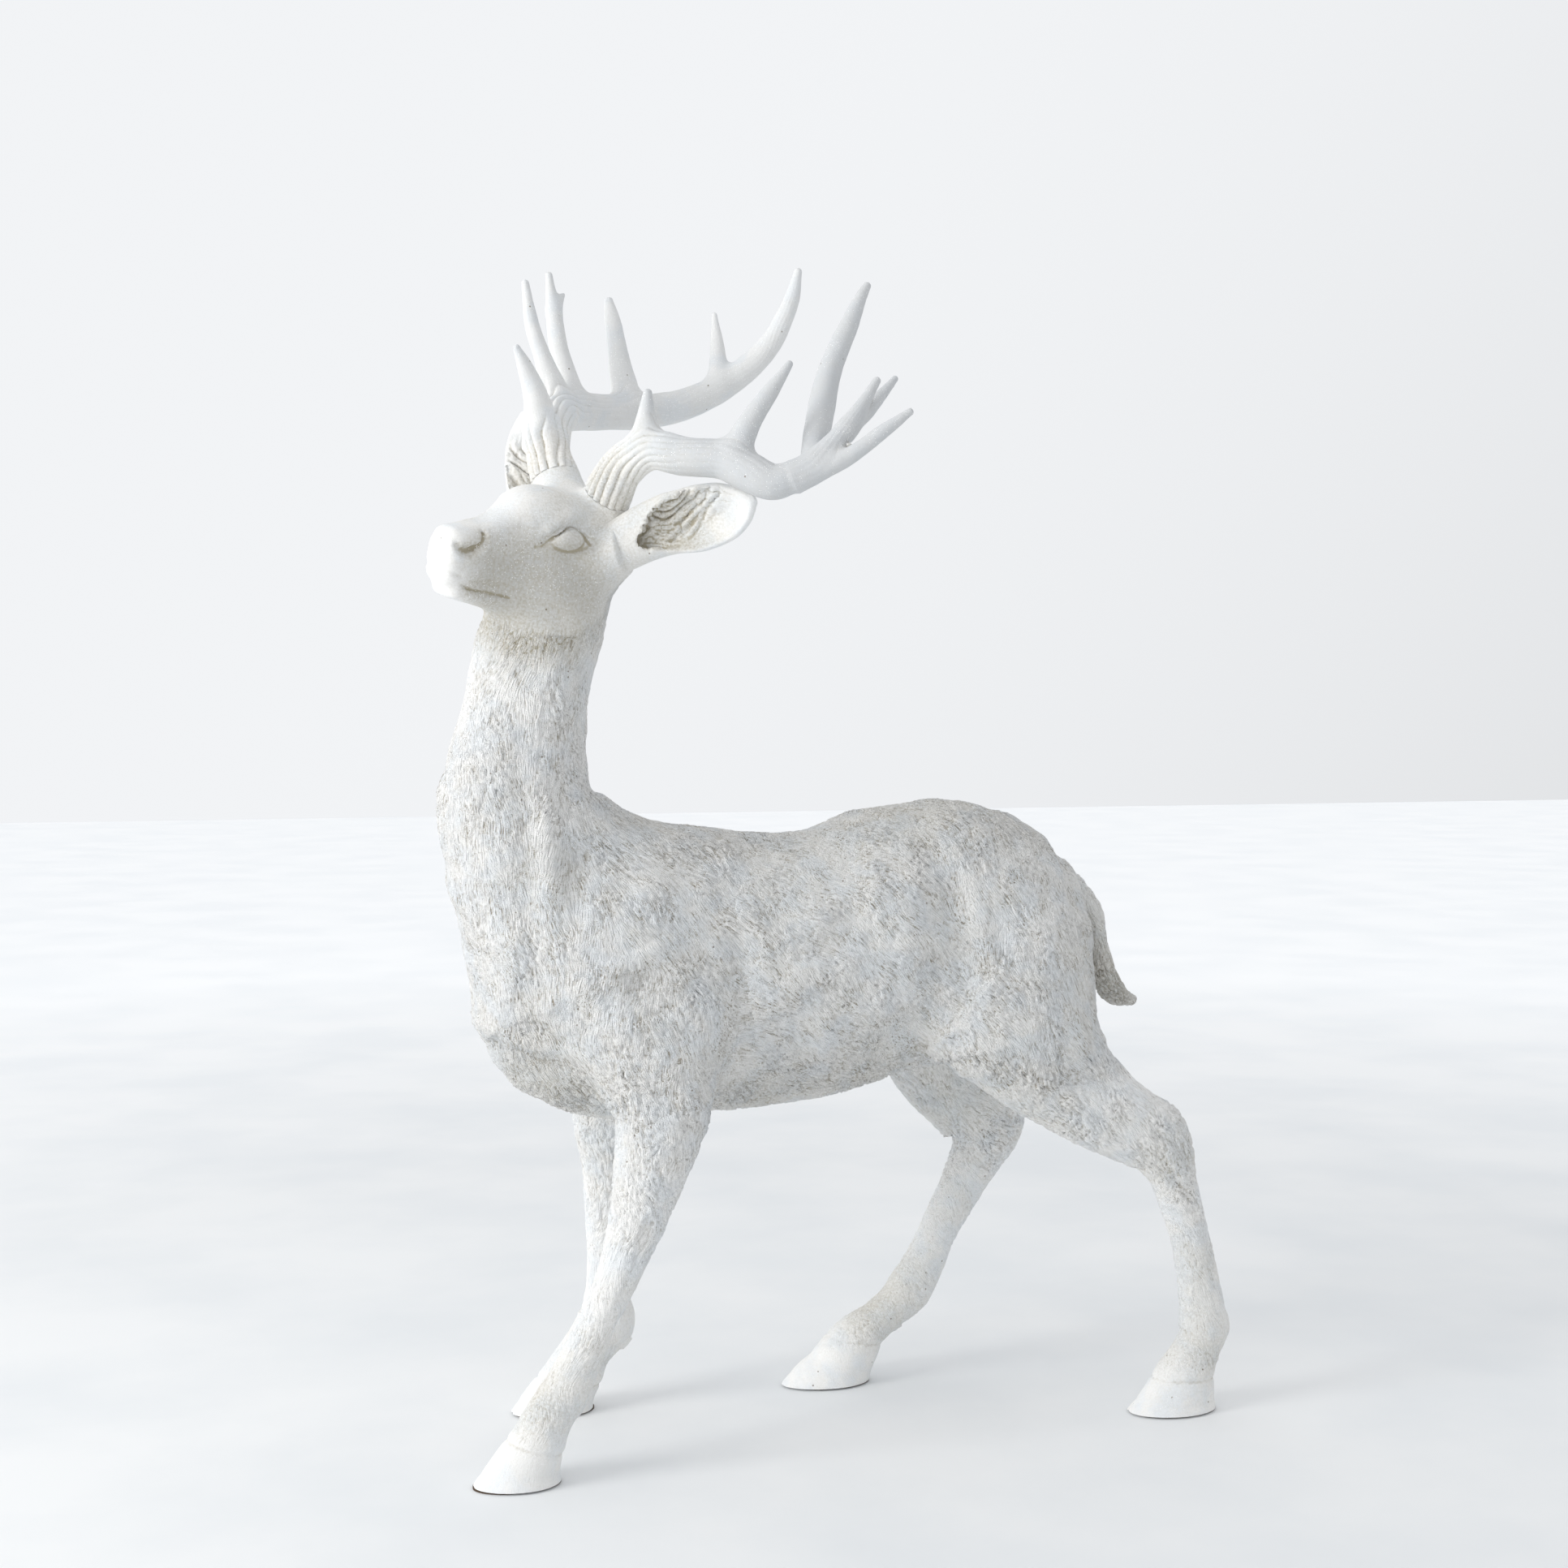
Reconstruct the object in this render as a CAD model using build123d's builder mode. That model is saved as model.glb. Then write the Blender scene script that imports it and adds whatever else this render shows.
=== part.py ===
from build123d import *
import os
from math import cos, radians, sin

# A standing stag in cast resin, 0.82 m to the antler tips. Millimetres, +Z up, origin on the floor
# under the middle of the figure. The stag faces -X, its left side is -Y, and it looks to its left.
# Hollow trunk and neck, solid legs cast round bent steel rods, and two antlers that pull off their
# sockets.

# ---- driving dimensions -------------------------------------------------------------------------
WALL = 5.0                 # shell thickness of the trunk and the neck
ROD_RADIUS = 3.0           # bent steel rods in the legs and the neck
ROD_BEND = 14.0            # bend radius of those rods, on the centre line
PAD_THICKNESS = 1.5        # felt pad under each hoof
PAD_INSET = 1.5            # the pad's edge stands this far inside the sole
SOLE = PAD_THICKNESS       # height of the resin sole above the floor
BAR_WIDTH = 14.0           # flat steel cross bars
BAR_THICKNESS = 6.0
BAR_BASE = 300.0           # underside of both cross bars
BAR_TOP = BAR_BASE + BAR_THICKNESS
SPINE_WIDTH = 12.0
SPINE_END = (-165.0, 150.0)
FORE_BAR_X = -130.0
FORE_BAR_HALF = 47.0
FORE_ROD_Y = 40.0          # where the fore rods pass up through their cross bar
HIND_BAR_X = 140.0
HIND_BAR_HALF = 39.0
HIND_ROD_Y = 32.0
NECK_ROD_X = -155.0
NECK_JOINT = 545.0         # height of the seam between the neck and the head casting
FORE_CUT = 214.0           # height at which the fore legs are joined to the shoulders

PEG_RADIUS = 3.0           # steel peg of an antler
PEG_IN_ANTLER = 22.0
PEG_IN_HEAD = 25.0
PEG_CLEARANCE = 0.05       # radial, in the sleeve
SLEEVE_WALL = 2.0
SLEEVE_LENGTH = 26.0
ANTLER_GAP = 0.3           # open seam between an antler and its pedicle
DOWEL_RADIUS = 2.5         # dowels of the ears and the tail
DOWEL_HALF = 11.0

# ---- the head's own axes ------------------------------------------------------------------------
HEAD_CENTRE = Vector(-200.7, -5.0, 608.0)
HEAD_YAW = 27.0            # turned to the stag's left
HEAD_DROP = 2.0            # nose below level
HEAD_ROLL = 16.0           # left side lower

MUZZLE_WAY = Vector(
    -cos(radians(HEAD_YAW)) * cos(radians(HEAD_DROP)),
    -sin(radians(HEAD_YAW)) * cos(radians(HEAD_DROP)),
    -sin(radians(HEAD_DROP)),
)
LEVEL_LEFT = Vector(sin(radians(HEAD_YAW)), -cos(radians(HEAD_YAW)), 0)
LEVEL_UP = MUZZLE_WAY.cross(LEVEL_LEFT)
HEAD_LEFT = LEVEL_LEFT * cos(radians(HEAD_ROLL)) - LEVEL_UP * sin(radians(HEAD_ROLL))
HEAD_UP = LEVEL_UP * cos(radians(HEAD_ROLL)) + LEVEL_LEFT * sin(radians(HEAD_ROLL))

# ---- side profiles ------------------------------------------------------------------------------
# A cross-section of a limb is an ellipse that spans from a front point to a rear point of the side
# profile: (front x, z), (rear x, z), y of its centre, half width. Down the neck they turn into the
# trunk's, which go from belly to back, and the rump closes them.
BODY = [
    ((-235, 590), (-152, 582), -3, 27),
    ((-242, 560), (-158, 548), 0, 32),
    ((-247, 535), (-167, 522), 0, 33),
    ((-254, 500), (-171, 496), 0, 36),
    ((-265, 462), (-171, 464), 0, 40),
    ((-270, 420), (-164, 440), 0, 46),
    ((-263, 372), (-149, 426), 0, 51),
    ((-246, 322), (-131, 423), 0, 55),
    ((-226, 272), (-117, 422), 0, 58),
    ((-190, 231), (-102, 419), 0, 60),
    ((-144, 217), (-86, 416), 0, 61),
    ((-85, 221), (-57, 411), 0, 62),
    ((-20, 225), (-10, 414), 0, 64),
    ((40, 237), (40, 429), 0, 66),
    ((90, 250), (90, 432), 0, 62),
    ((130, 254), (130, 421), 0, 58),
    ((160, 262), (157, 408), 0, 52),
    ((182, 276), (179, 391), 0, 42),
    ((195, 294), (194, 373), 0, 28),
    ((201, 314), (201, 354), 0, 14),
]
HOLLOW = slice(2, -3)      # the cavity runs inside these of the body's spans
LEFT_FORE = [
    ((-205, 345), (-105, 335), -30, 26),
    ((-183, 285), (-90, 285), -42, 28),
    ((-168, 238), (-98, 240), -54, 25),
    ((-168, 206), (-112, 209), -61, 22),
    ((-171, 172), (-133, 163), -64, 18),
    ((-179, 135), (-154, 123), -67, 15),
    ((-192, 105), (-170, 95), -68, 11),
    ((-205, 82), (-179, 72), -69, 11),
    ((-215, 66), (-189, 50), -69, 13),
    ((-229, 46), (-200, 33), -69, 14),
    ((-239, 30), (-203, 20), -69, 17),
    ((-264, SOLE), (-204, SOLE), -69, 19),
]
RIGHT_FORE = [
    ((-205, 345), (-105, 335), 30, 26),
    ((-183, 285), (-90, 285), 42, 28),
    ((-170, 238), (-98, 240), 54, 25),
    ((-167, 206), (-108, 209), 61, 22),
    ((-159, 170), (-118, 172), 64, 18),
    ((-156, 128), (-121, 128), 67, 15),
    ((-155, 100), (-124, 100), 68, 11),
    ((-157, 80), (-124, 76), 69, 11),
    ((-163, 66), (-121, 55), 69, 13),
    ((-176, 44), (-139, 34), 69, 14),
    ((-190, 25), (-144, 19), 69, 17),
    ((-209, SOLE), (-149, SOLE), 69, 19),
]
LEFT_HIND = [
    ((75, 345), (192, 345), -30, 26),
    ((64, 292), (186, 298), -44, 29),
    ((68, 256), (185, 266), -54, 28),
    ((97, 233), (200, 243), -60, 24),
    ((127, 215), (212, 231), -64, 20),
    ((157, 197), (227, 222), -66, 17),
    ((187, 185), (240, 214), -67, 15),
    ((210, 172), (247, 192), -68, 14),
    ((222, 155), (252, 172), -69, 12),
    ((235, 125), (262, 133), -69, 11),
    ((241, 95), (271, 99), -69, 11),
    ((243, 72), (277, 73), -69, 12),
    ((242, 54), (281, 58), -69, 14),
    ((236, 39), (276, 44), -69, 14),
    ((226, 27), (272, 27), -69, 17),
    ((208, SOLE), (271, SOLE), -69, 19),
]
RIGHT_HIND = [
    ((75, 345), (192, 345), 30, 26),
    ((64, 292), (184, 300), 44, 29),
    ((60, 258), (182, 280), 54, 28),
    ((68, 234), (176, 262), 59, 25),
    ((83, 216), (173, 240), 63, 22),
    ((100, 199), (176, 220), 65, 19),
    ((114, 184), (181, 203), 66, 17),
    ((120, 166), (181, 184), 67, 15),
    ((114, 141), (153, 137), 69, 12),
    ((102, 115), (129, 103), 69, 11),
    ((90, 92), (119, 80), 69, 11),
    ((73, 70), (106, 55), 69, 13),
    ((53, 51), (90, 42), 69, 14),
    ((30, 38), (74, 28), 69, 17),
    ((-2, SOLE), (60, SOLE), 69, 19),
]
TAIL = [
    ((186, 358), (196, 376), 0, 9),
    ((200, 342), (213, 351), 0, 12),
    ((205, 318), (217, 325), 0, 13),
    ((208, 299), (226, 303), 0, 12),
    ((217, 284), (234, 292), 0, 8),
    ((238, 279), (243, 285), 0, 3),
]
HIND_CUT_SPAN = 3          # each hind leg is joined to the haunch at this one of its spans

# Skull and muzzle: place along the muzzle, top and bottom from the head's axis, half width.
HEAD = [
    (-42, 16, -24, 17),
    (-32, 28, -38, 26),
    (-18, 37, -48, 32),
    (0, 38, -52, 34),
    (14, 34, -51, 32),
    (28, 22, -49, 28),
    (45, 14, -46, 23),
    (60, 12, -43, 20),
    (71, 8, -39, 19),
    (80, 2, -32, 15),
    (85, -6, -22, 9),
]

# ---- rods: centre-line points -------------------------------------------------------------------
LEFT_FORE_ROD = [
    (-216, -69, 32),
    (-192, -69, 77),
    (-166, -67, 130),
    (-140, -61, 208),
    (FORE_BAR_X, -FORE_ROD_Y, 270),
    (FORE_BAR_X, -FORE_ROD_Y, BAR_TOP),
]
RIGHT_FORE_ROD = [
    (-164, 69, 26),
    (-141, 69, 64),
    (-137, 61, 208),
    (FORE_BAR_X, FORE_ROD_Y, 270),
    (FORE_BAR_X, FORE_ROD_Y, BAR_TOP),
]
LEFT_HIND_ROD = [
    (250, -69, 30),
    (262, -69, 62),
    (238, -69, 165),
    (214, -67, 198),
    (150, -61, 238),
    (HIND_BAR_X, -HIND_ROD_Y, 275),
    (HIND_BAR_X, -HIND_ROD_Y, BAR_TOP),
]
RIGHT_HIND_ROD = [
    (56, 69, 34),
    (88, 69, 60),
    (116, 69, 110),
    (148, 67, 172),
    (128, 62, 228),
    (HIND_BAR_X, HIND_ROD_Y, 278),
    (HIND_BAR_X, HIND_ROD_Y, BAR_TOP),
]
NECK_ROD = [
    (NECK_ROD_X, 0, BAR_BASE),
    (NECK_ROD_X, 0, 335),
    (-205, 0, 420),
    (-214, 0, 480),
    (-203, 0, 552),
    (-198, -2, 588),
]

# ---- antlers: centre line and radius, (x, y, z, r) ----------------------------------------------
LEFT_BEAM = [
    (-159, -13, 639, 14.7),
    (-152, -27, 656, 14),
    (-139, -48, 666, 12.8),
    (-120, -66, 661, 12.7),
    (-99, -80, 658, 12.6),
    (-84, -92, 649, 12.6),
    (-70, -100, 643, 11.5),
    (-53, -106, 650, 9.4),
    (-37, -108, 663, 7.9),
    (-22, -106, 680, 6.3),
    (-11, -102, 694, 4.8),
    (1, -97, 712, 2.1),
]
LEFT_TINES = [
    [(-142, -44, 670, 10.7), (-142, -50, 687, 6.4), (-142, -54, 703, 2.7)],
    [(-92, -84, 662, 10.5), (-83, -88, 682, 7.4), (-69, -90, 703, 5.3), (-58, -90, 719, 2.1)],
    [(-58, -105, 644, 8), (-29, -118, 657, 5.7), (-5, -126, 675, 4.7), (11, -130, 688, 2.1)],
    [(-24, -105, 675, 5.4), (1, -88, 696, 4.8), (21, -78, 717, 2.2)],
    [(-45, -98, 655, 7.4), (-31, -74, 686, 9.1), (-18, -58, 721, 8.2), (-2, -50, 753, 6.6),
     (8, -46, 773, 4.4), (14, -44, 781, 2.2)],
]
RIGHT_BEAM = [
    (-185, 27, 654, 15.5),
    (-188, 36, 674, 14.6),
    (-179, 56, 699, 13.7),
    (-165, 80, 707, 13.9),
    (-135, 103, 711, 12.9),
    (-102, 114, 714, 12.5),
    (-70, 119, 721, 11.4),
    (-39, 117, 736, 10.3),
    (-16, 110, 755, 9.1),
    (-3, 104, 772, 7.8),
    (7, 95, 798, 6),
    (10, 88, 817, 2.4),
]
RIGHT_TINES = [
    [(-191, 36, 678, 14), (-199, 26, 708, 8.8), (-207, 20, 726, 5.5), (-214, 16, 739, 2.2)],
    [(-170, 74, 706, 11.4), (-185, 68, 742, 6.3), (-193, 66, 764, 5.1), (-198, 64, 791, 2.3)],
    [(-158, 86, 710, 10.5), (-166, 99, 751, 7), (-169, 104, 778, 5.8), (-172, 106, 806, 2.3)],
    [(-169, 104, 780, 3.2), (-163, 107, 792, 1.2)],
    [(-112, 111, 714, 12), (-118, 118, 754, 7.7), (-121, 122, 778, 6), (-124, 124, 794, 3)],
    [(-42, 117, 735, 8.8), (-42, 121, 764, 5.4), (-43, 125, 788, 1.8)],
]

# ---- ears: base, tip and the way the cup opens --------------------------------------------------
LEFT_EAR = ((-163, -18, 611), (-77, -75, 636), (-0.55, -0.83, -0.1))
RIGHT_EAR = ((-187, 32, 616), (-197, 98, 694), (-0.75, 0.45, -0.5))
# (fraction of the ear's length, half width, half thickness)
EAR_OUTSIDE = [(-0.06, 9, 7), (0.12, 12, 9), (0.38, 21, 9), (0.62, 24, 8), (0.84, 18, 5), (0.98, 6, 2)]
EAR_INSIDE = [(0.16, 6, 5), (0.38, 16, 6), (0.62, 20, 6), (0.84, 14, 4), (0.93, 6, 2)]
EAR_HOLLOW = 5.0           # the inside form is moved this far the way the cup opens


# ---- forms --------------------------------------------------------------------------------------
def span_plane(front, rear, y):
    """The plane of a cross-section between a front point and a rear point of the side profile."""
    across = Vector(rear[0] - front[0], 0, rear[1] - front[1])
    middle = Vector((front[0] + rear[0]) / 2, y, (front[1] + rear[1]) / 2)
    return Plane(origin=middle, x_dir=across, z_dir=across.cross(Vector(0, 1, 0)))


def skin_between(sections):
    """A skin that runs from each cross-section to the next, added to the part being built."""
    for pair in zip(sections, sections[1:]):
        loft(pair)


def limb_form(spans, wall=0.0):
    """A solid through elliptical cross-sections, all of them smaller by the wall."""
    with BuildPart() as form:
        sections = []
        for front, rear, y, half_width in spans:
            half_length = (Vector(*rear) - Vector(*front)).length / 2
            with BuildSketch(span_plane(front, rear, y)) as section:
                Ellipse(half_length - wall, half_width - wall)
            sections.append(section.sketch.face())
        skin_between(sections)
    return form.part


def branch_form(stations):
    """A tapered round branch of an antler."""
    points = [Vector(x, y, z) for x, y, z, _ in stations]
    with BuildPart() as form:
        sections = []
        for i, point in enumerate(points):
            way = (points[min(i + 1, len(points) - 1)] - points[max(i - 1, 0)]).normalized()
            side = Vector(0, 1, 0) - way * way.Y
            with BuildSketch(Plane(origin=point, x_dir=side, z_dir=way)) as section:
                Circle(stations[i][3])
            sections.append(section.sketch.face())
        skin_between(sections)
    return form.part


def bent_rod(points):
    """A round steel rod bent through a few corners."""
    with BuildPart() as rod:
        with BuildLine() as path:
            FilletPolyline(*points, radius=ROD_BEND)
        with BuildSketch(Plane(origin=path.line @ 0, z_dir=path.line % 0)):
            Circle(ROD_RADIUS)
        sweep()
    return rod


def cylinder_along(start, way, length, radius):
    """A plain cylinder from a point along a direction."""
    with BuildPart() as form:
        with BuildSketch(Plane(origin=start, z_dir=way)):
            Circle(radius)
        extrude(amount=length)
    return form


# ---- body and limbs before they are cut into castings -------------------------------------------
body_form = limb_form(BODY)
left_fore_form = limb_form(LEFT_FORE)
right_fore_form = limb_form(RIGHT_FORE)
left_hind_form = limb_form(LEFT_HIND)
right_hind_form = limb_form(RIGHT_HIND)
body_cavity = limb_form(BODY[HOLLOW], WALL)

fore_cut = Plane.XY.offset(FORE_CUT)
left_hind_cut = span_plane(*LEFT_HIND[HIND_CUT_SPAN][:3])
right_hind_cut = span_plane(*RIGHT_HIND[HIND_CUT_SPAN][:3])

# ---- steel frame --------------------------------------------------------------------------------
left_fore_rod = bent_rod(LEFT_FORE_ROD)
right_fore_rod = bent_rod(RIGHT_FORE_ROD)
left_hind_rod = bent_rod(LEFT_HIND_ROD)
right_hind_rod = bent_rod(RIGHT_HIND_ROD)
neck_rod = bent_rod(NECK_ROD)


def cross_bar(x, half_length, rod_y):
    """A flat bar across the trunk, with a hole for the rod of each leg."""
    with BuildPart(Plane.XY.offset(BAR_BASE)) as bar:
        with Locations((x, 0)):
            Box(BAR_WIDTH, 2 * half_length, BAR_THICKNESS, align=(Align.CENTER, Align.CENTER, Align.MIN))
        with Locations((x, rod_y, BAR_THICKNESS), (x, -rod_y, BAR_THICKNESS)):
            Hole(ROD_RADIUS)
    return bar


fore_cross_bar = cross_bar(FORE_BAR_X, FORE_BAR_HALF, FORE_ROD_Y)
hind_cross_bar = cross_bar(HIND_BAR_X, HIND_BAR_HALF, HIND_ROD_Y)

with BuildPart(Plane.XY.offset(BAR_TOP)) as spine_bar:
    with Locations(((SPINE_END[0] + SPINE_END[1]) / 2, 0)):
        Box(
            SPINE_END[1] - SPINE_END[0],
            SPINE_WIDTH,
            BAR_THICKNESS,
            align=(Align.CENTER, Align.CENTER, Align.MIN),
        )
    with Locations((NECK_ROD_X, 0, BAR_THICKNESS)):
        Hole(ROD_RADIUS)

# ---- antlers, their pegs and sleeves ------------------------------------------------------------
def antler_axis(beam):
    """The axis an antler pulls off along, from its base."""
    base = Vector(*beam[0][:3])
    return base, (Vector(*beam[1][:3]) - base).normalized()


def antler(beam, tines):
    """A beam with its tines, bored for its peg."""
    base, way = antler_axis(beam)
    with BuildPart() as casting:
        add(branch_form(beam))
        for tine in tines:
            add(branch_form(tine))
        split(bisect_by=Plane(origin=base + way * ANTLER_GAP, z_dir=way), keep=Keep.TOP)
        add(cylinder_along(base, way, PEG_IN_ANTLER, PEG_RADIUS).part, mode=Mode.SUBTRACT)
    return casting


def antler_peg(beam):
    """The steel peg cast into an antler's base."""
    base, way = antler_axis(beam)
    return cylinder_along(base - way * PEG_IN_HEAD, way, PEG_IN_HEAD + PEG_IN_ANTLER, PEG_RADIUS)


def antler_socket(beam):
    """The steel sleeve in the head that the peg slides in."""
    base, way = antler_axis(beam)
    bottom = base - way * SLEEVE_LENGTH
    with BuildPart() as sleeve:
        with BuildSketch(Plane(origin=bottom, z_dir=way)):
            Circle(PEG_RADIUS + PEG_CLEARANCE + SLEEVE_WALL)
            Circle(PEG_RADIUS + PEG_CLEARANCE, mode=Mode.SUBTRACT)
        extrude(amount=SLEEVE_LENGTH)
    return sleeve


left_antler = antler(LEFT_BEAM, LEFT_TINES)
right_antler = antler(RIGHT_BEAM, RIGHT_TINES)
left_antler_peg = antler_peg(LEFT_BEAM)
right_antler_peg = antler_peg(RIGHT_BEAM)
left_antler_socket = antler_socket(LEFT_BEAM)
right_antler_socket = antler_socket(RIGHT_BEAM)


# ---- ears ---------------------------------------------------------------------------------------
def ear_form(place, sections, shift):
    """A smooth leaf along an ear, moved the way the cup opens."""
    base, tip, opening = (Vector(*v) for v in place)
    way = (tip - base).normalized()
    face = (opening - way * opening.dot(way)).normalized()
    with BuildPart() as form:
        for fraction, half_width, half_thickness in sections:
            centre = base + (tip - base) * fraction + face * shift
            with BuildSketch(Plane(origin=centre, x_dir=way.cross(face), z_dir=way)):
                Ellipse(half_width, half_thickness)
        loft()
    return form.part


def ear_dowel(place):
    """A dowel half in the head and half in the ear."""
    base, tip = Vector(*place[0]), Vector(*place[1])
    way = (tip - base).normalized()
    return cylinder_along(base - way * DOWEL_HALF, way, 2 * DOWEL_HALF, DOWEL_RADIUS)


left_ear_dowel = ear_dowel(LEFT_EAR)
right_ear_dowel = ear_dowel(RIGHT_EAR)

# ---- head ---------------------------------------------------------------------------------------
with BuildPart() as skull:
    for along, top, bottom, half_width in HEAD:
        centre = HEAD_CENTRE + MUZZLE_WAY * along + HEAD_UP * ((top + bottom) / 2)
        with BuildSketch(Plane(origin=centre, x_dir=HEAD_UP, z_dir=MUZZLE_WAY)):
            Ellipse((top - bottom) / 2, half_width)
    loft()


def pedicle(beam):
    """The short stump of the skull that an antler stands on."""
    base, way = antler_axis(beam)
    radius = beam[0][3]
    with BuildPart() as stump:
        for depth, extra in ((30, 6), (12, 2), (0, 0)):
            with BuildSketch(Plane(origin=base - way * depth, z_dir=way)):
                Circle(radius + extra)
        loft()
    return stump.part


def socket_bore(beam):
    """The bore of the head that a sleeve is cast into."""
    base, way = antler_axis(beam)
    radius = PEG_RADIUS + PEG_CLEARANCE + SLEEVE_WALL
    return cylinder_along(base - way * SLEEVE_LENGTH, way, SLEEVE_LENGTH, radius).part


with BuildPart() as head_casting:
    add(body_form)
    split(bisect_by=Plane.XY.offset(NECK_JOINT), keep=Keep.TOP)
    add(skull.part)
    for beam in (LEFT_BEAM, RIGHT_BEAM):
        add(pedicle(beam))
    for beam in (LEFT_BEAM, RIGHT_BEAM):
        add(socket_bore(beam), mode=Mode.SUBTRACT)
    for dowel in (left_ear_dowel, right_ear_dowel, neck_rod):
        add(dowel.part, mode=Mode.SUBTRACT)


def ear(place, dowel):
    """A cupped ear whose root fits the skull."""
    with BuildPart() as casting:
        add(ear_form(place, EAR_OUTSIDE, 0))
        add(ear_form(place, EAR_INSIDE, EAR_HOLLOW), mode=Mode.SUBTRACT)
        add(head_casting.part, mode=Mode.SUBTRACT)
        add(dowel.part, mode=Mode.SUBTRACT)
    return casting


left_ear = ear(LEFT_EAR, left_ear_dowel)
right_ear = ear(RIGHT_EAR, right_ear_dowel)

# ---- tail ---------------------------------------------------------------------------------------
TAIL_DOWEL_START = (180, 0, 360)
tail_dowel = cylinder_along(TAIL_DOWEL_START, (1, 0, 0), 2 * DOWEL_HALF, DOWEL_RADIUS)

with BuildPart() as tail:
    add(limb_form(TAIL))
    add(body_form, mode=Mode.SUBTRACT)
    add(tail_dowel.part, mode=Mode.SUBTRACT)

# ---- trunk and neck shell -----------------------------------------------------------------------
with BuildPart() as shoulders_and_haunches:
    for form, cut in (
        (left_fore_form, fore_cut),
        (right_fore_form, fore_cut),
        (left_hind_form, left_hind_cut),
        (right_hind_form, right_hind_cut),
    ):
        add(split(form, bisect_by=cut, keep=Keep.TOP, mode=Mode.PRIVATE))

with BuildPart() as body_shell:
    add(body_form)
    split(bisect_by=Plane.XY.offset(NECK_JOINT), keep=Keep.BOTTOM)
    add(shoulders_and_haunches.part)
    add(body_cavity, mode=Mode.SUBTRACT)
    for insert in (left_fore_rod, right_fore_rod, left_hind_rod, right_hind_rod, neck_rod, tail_dowel):
        add(insert.part, mode=Mode.SUBTRACT)


# ---- legs and their pads ------------------------------------------------------------------------
def leg(form, cut, rod):
    """A solid leg with its hoof, below the cut, bored for its rod."""
    with BuildPart() as casting:
        add(form)
        split(bisect_by=cut, keep=Keep.BOTTOM)
        add(rod.part, mode=Mode.SUBTRACT)
    return casting


def hoof_pad(spans):
    """A felt pad under a hoof, a little smaller than the sole."""
    front, rear, y, half_width = spans[-1]
    with BuildPart() as pad:
        with BuildSketch():
            with Locations(((front[0] + rear[0]) / 2, y)):
                Ellipse((rear[0] - front[0]) / 2 - PAD_INSET, half_width - PAD_INSET)
        extrude(amount=PAD_THICKNESS)
    return pad


left_fore_leg = leg(left_fore_form, fore_cut, left_fore_rod)
right_fore_leg = leg(right_fore_form, fore_cut, right_fore_rod)
left_hind_leg = leg(left_hind_form, left_hind_cut, left_hind_rod)
right_hind_leg = leg(right_hind_form, right_hind_cut, right_hind_rod)

# ---- the finished pieces ------------------------------------------------------------------------
PIECES = {
    "body_shell": body_shell,
    "head_casting": head_casting,
    "left_ear": left_ear,
    "right_ear": right_ear,
    "tail": tail,
    "left_fore_leg": left_fore_leg,
    "right_fore_leg": right_fore_leg,
    "left_hind_leg": left_hind_leg,
    "right_hind_leg": right_hind_leg,
    "left_fore_pad": hoof_pad(LEFT_FORE),
    "right_fore_pad": hoof_pad(RIGHT_FORE),
    "left_hind_pad": hoof_pad(LEFT_HIND),
    "right_hind_pad": hoof_pad(RIGHT_HIND),
    "left_fore_rod": left_fore_rod,
    "right_fore_rod": right_fore_rod,
    "left_hind_rod": left_hind_rod,
    "right_hind_rod": right_hind_rod,
    "fore_cross_bar": fore_cross_bar,
    "hind_cross_bar": hind_cross_bar,
    "spine_bar": spine_bar,
    "neck_rod": neck_rod,
    "left_ear_dowel": left_ear_dowel,
    "right_ear_dowel": right_ear_dowel,
    "tail_dowel": tail_dowel,
    "left_antler_socket": left_antler_socket,
    "right_antler_socket": right_antler_socket,
    "left_antler": left_antler,
    "left_antler_peg": left_antler_peg,
    "right_antler": right_antler,
    "right_antler_peg": right_antler_peg,
}

os.makedirs("parts", exist_ok=True)
for name, piece in PIECES.items():
    piece.part.label = name
    export_step(piece.part, f"parts/{name}.step")
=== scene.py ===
import math

import bmesh
import bpy
import numpy as np
from mathutils import Matrix, Vector


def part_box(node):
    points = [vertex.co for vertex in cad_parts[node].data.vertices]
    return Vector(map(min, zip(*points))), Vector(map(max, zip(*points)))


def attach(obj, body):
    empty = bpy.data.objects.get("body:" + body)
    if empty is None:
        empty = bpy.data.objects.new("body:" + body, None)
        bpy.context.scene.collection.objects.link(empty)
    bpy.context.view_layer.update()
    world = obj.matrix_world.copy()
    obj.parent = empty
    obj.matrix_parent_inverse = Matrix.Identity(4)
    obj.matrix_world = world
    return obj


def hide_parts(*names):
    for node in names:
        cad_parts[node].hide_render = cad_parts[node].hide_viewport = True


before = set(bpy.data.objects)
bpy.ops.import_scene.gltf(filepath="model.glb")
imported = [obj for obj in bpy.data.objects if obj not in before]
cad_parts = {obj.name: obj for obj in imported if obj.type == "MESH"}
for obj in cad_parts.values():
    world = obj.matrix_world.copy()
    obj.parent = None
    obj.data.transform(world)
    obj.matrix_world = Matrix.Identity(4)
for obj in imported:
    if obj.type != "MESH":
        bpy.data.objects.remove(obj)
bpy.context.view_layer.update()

# The figure's castings are sculpted as smooth implicit forms in millimetres, meshed, given their
# carved hair and features, cut at the CAD castings' own seams, and written in metres.

MM = 0.001
LEVELS = 2         # each level halves the edge of a casting's mesh
STEP = {"body": 6.0, "head": 3.2, "leg": 4.4, "tail": 2.6, "ear": 2.2, "antler": 3.4}   # first mesh edge

# ---- seams and places that come from the frame --------------------------------------------------
def box_mm(node):
    """A CAD node's lowest and highest corner, in millimetres."""
    low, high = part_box(node)
    return np.array(low) / MM, np.array(high) / MM


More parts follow.
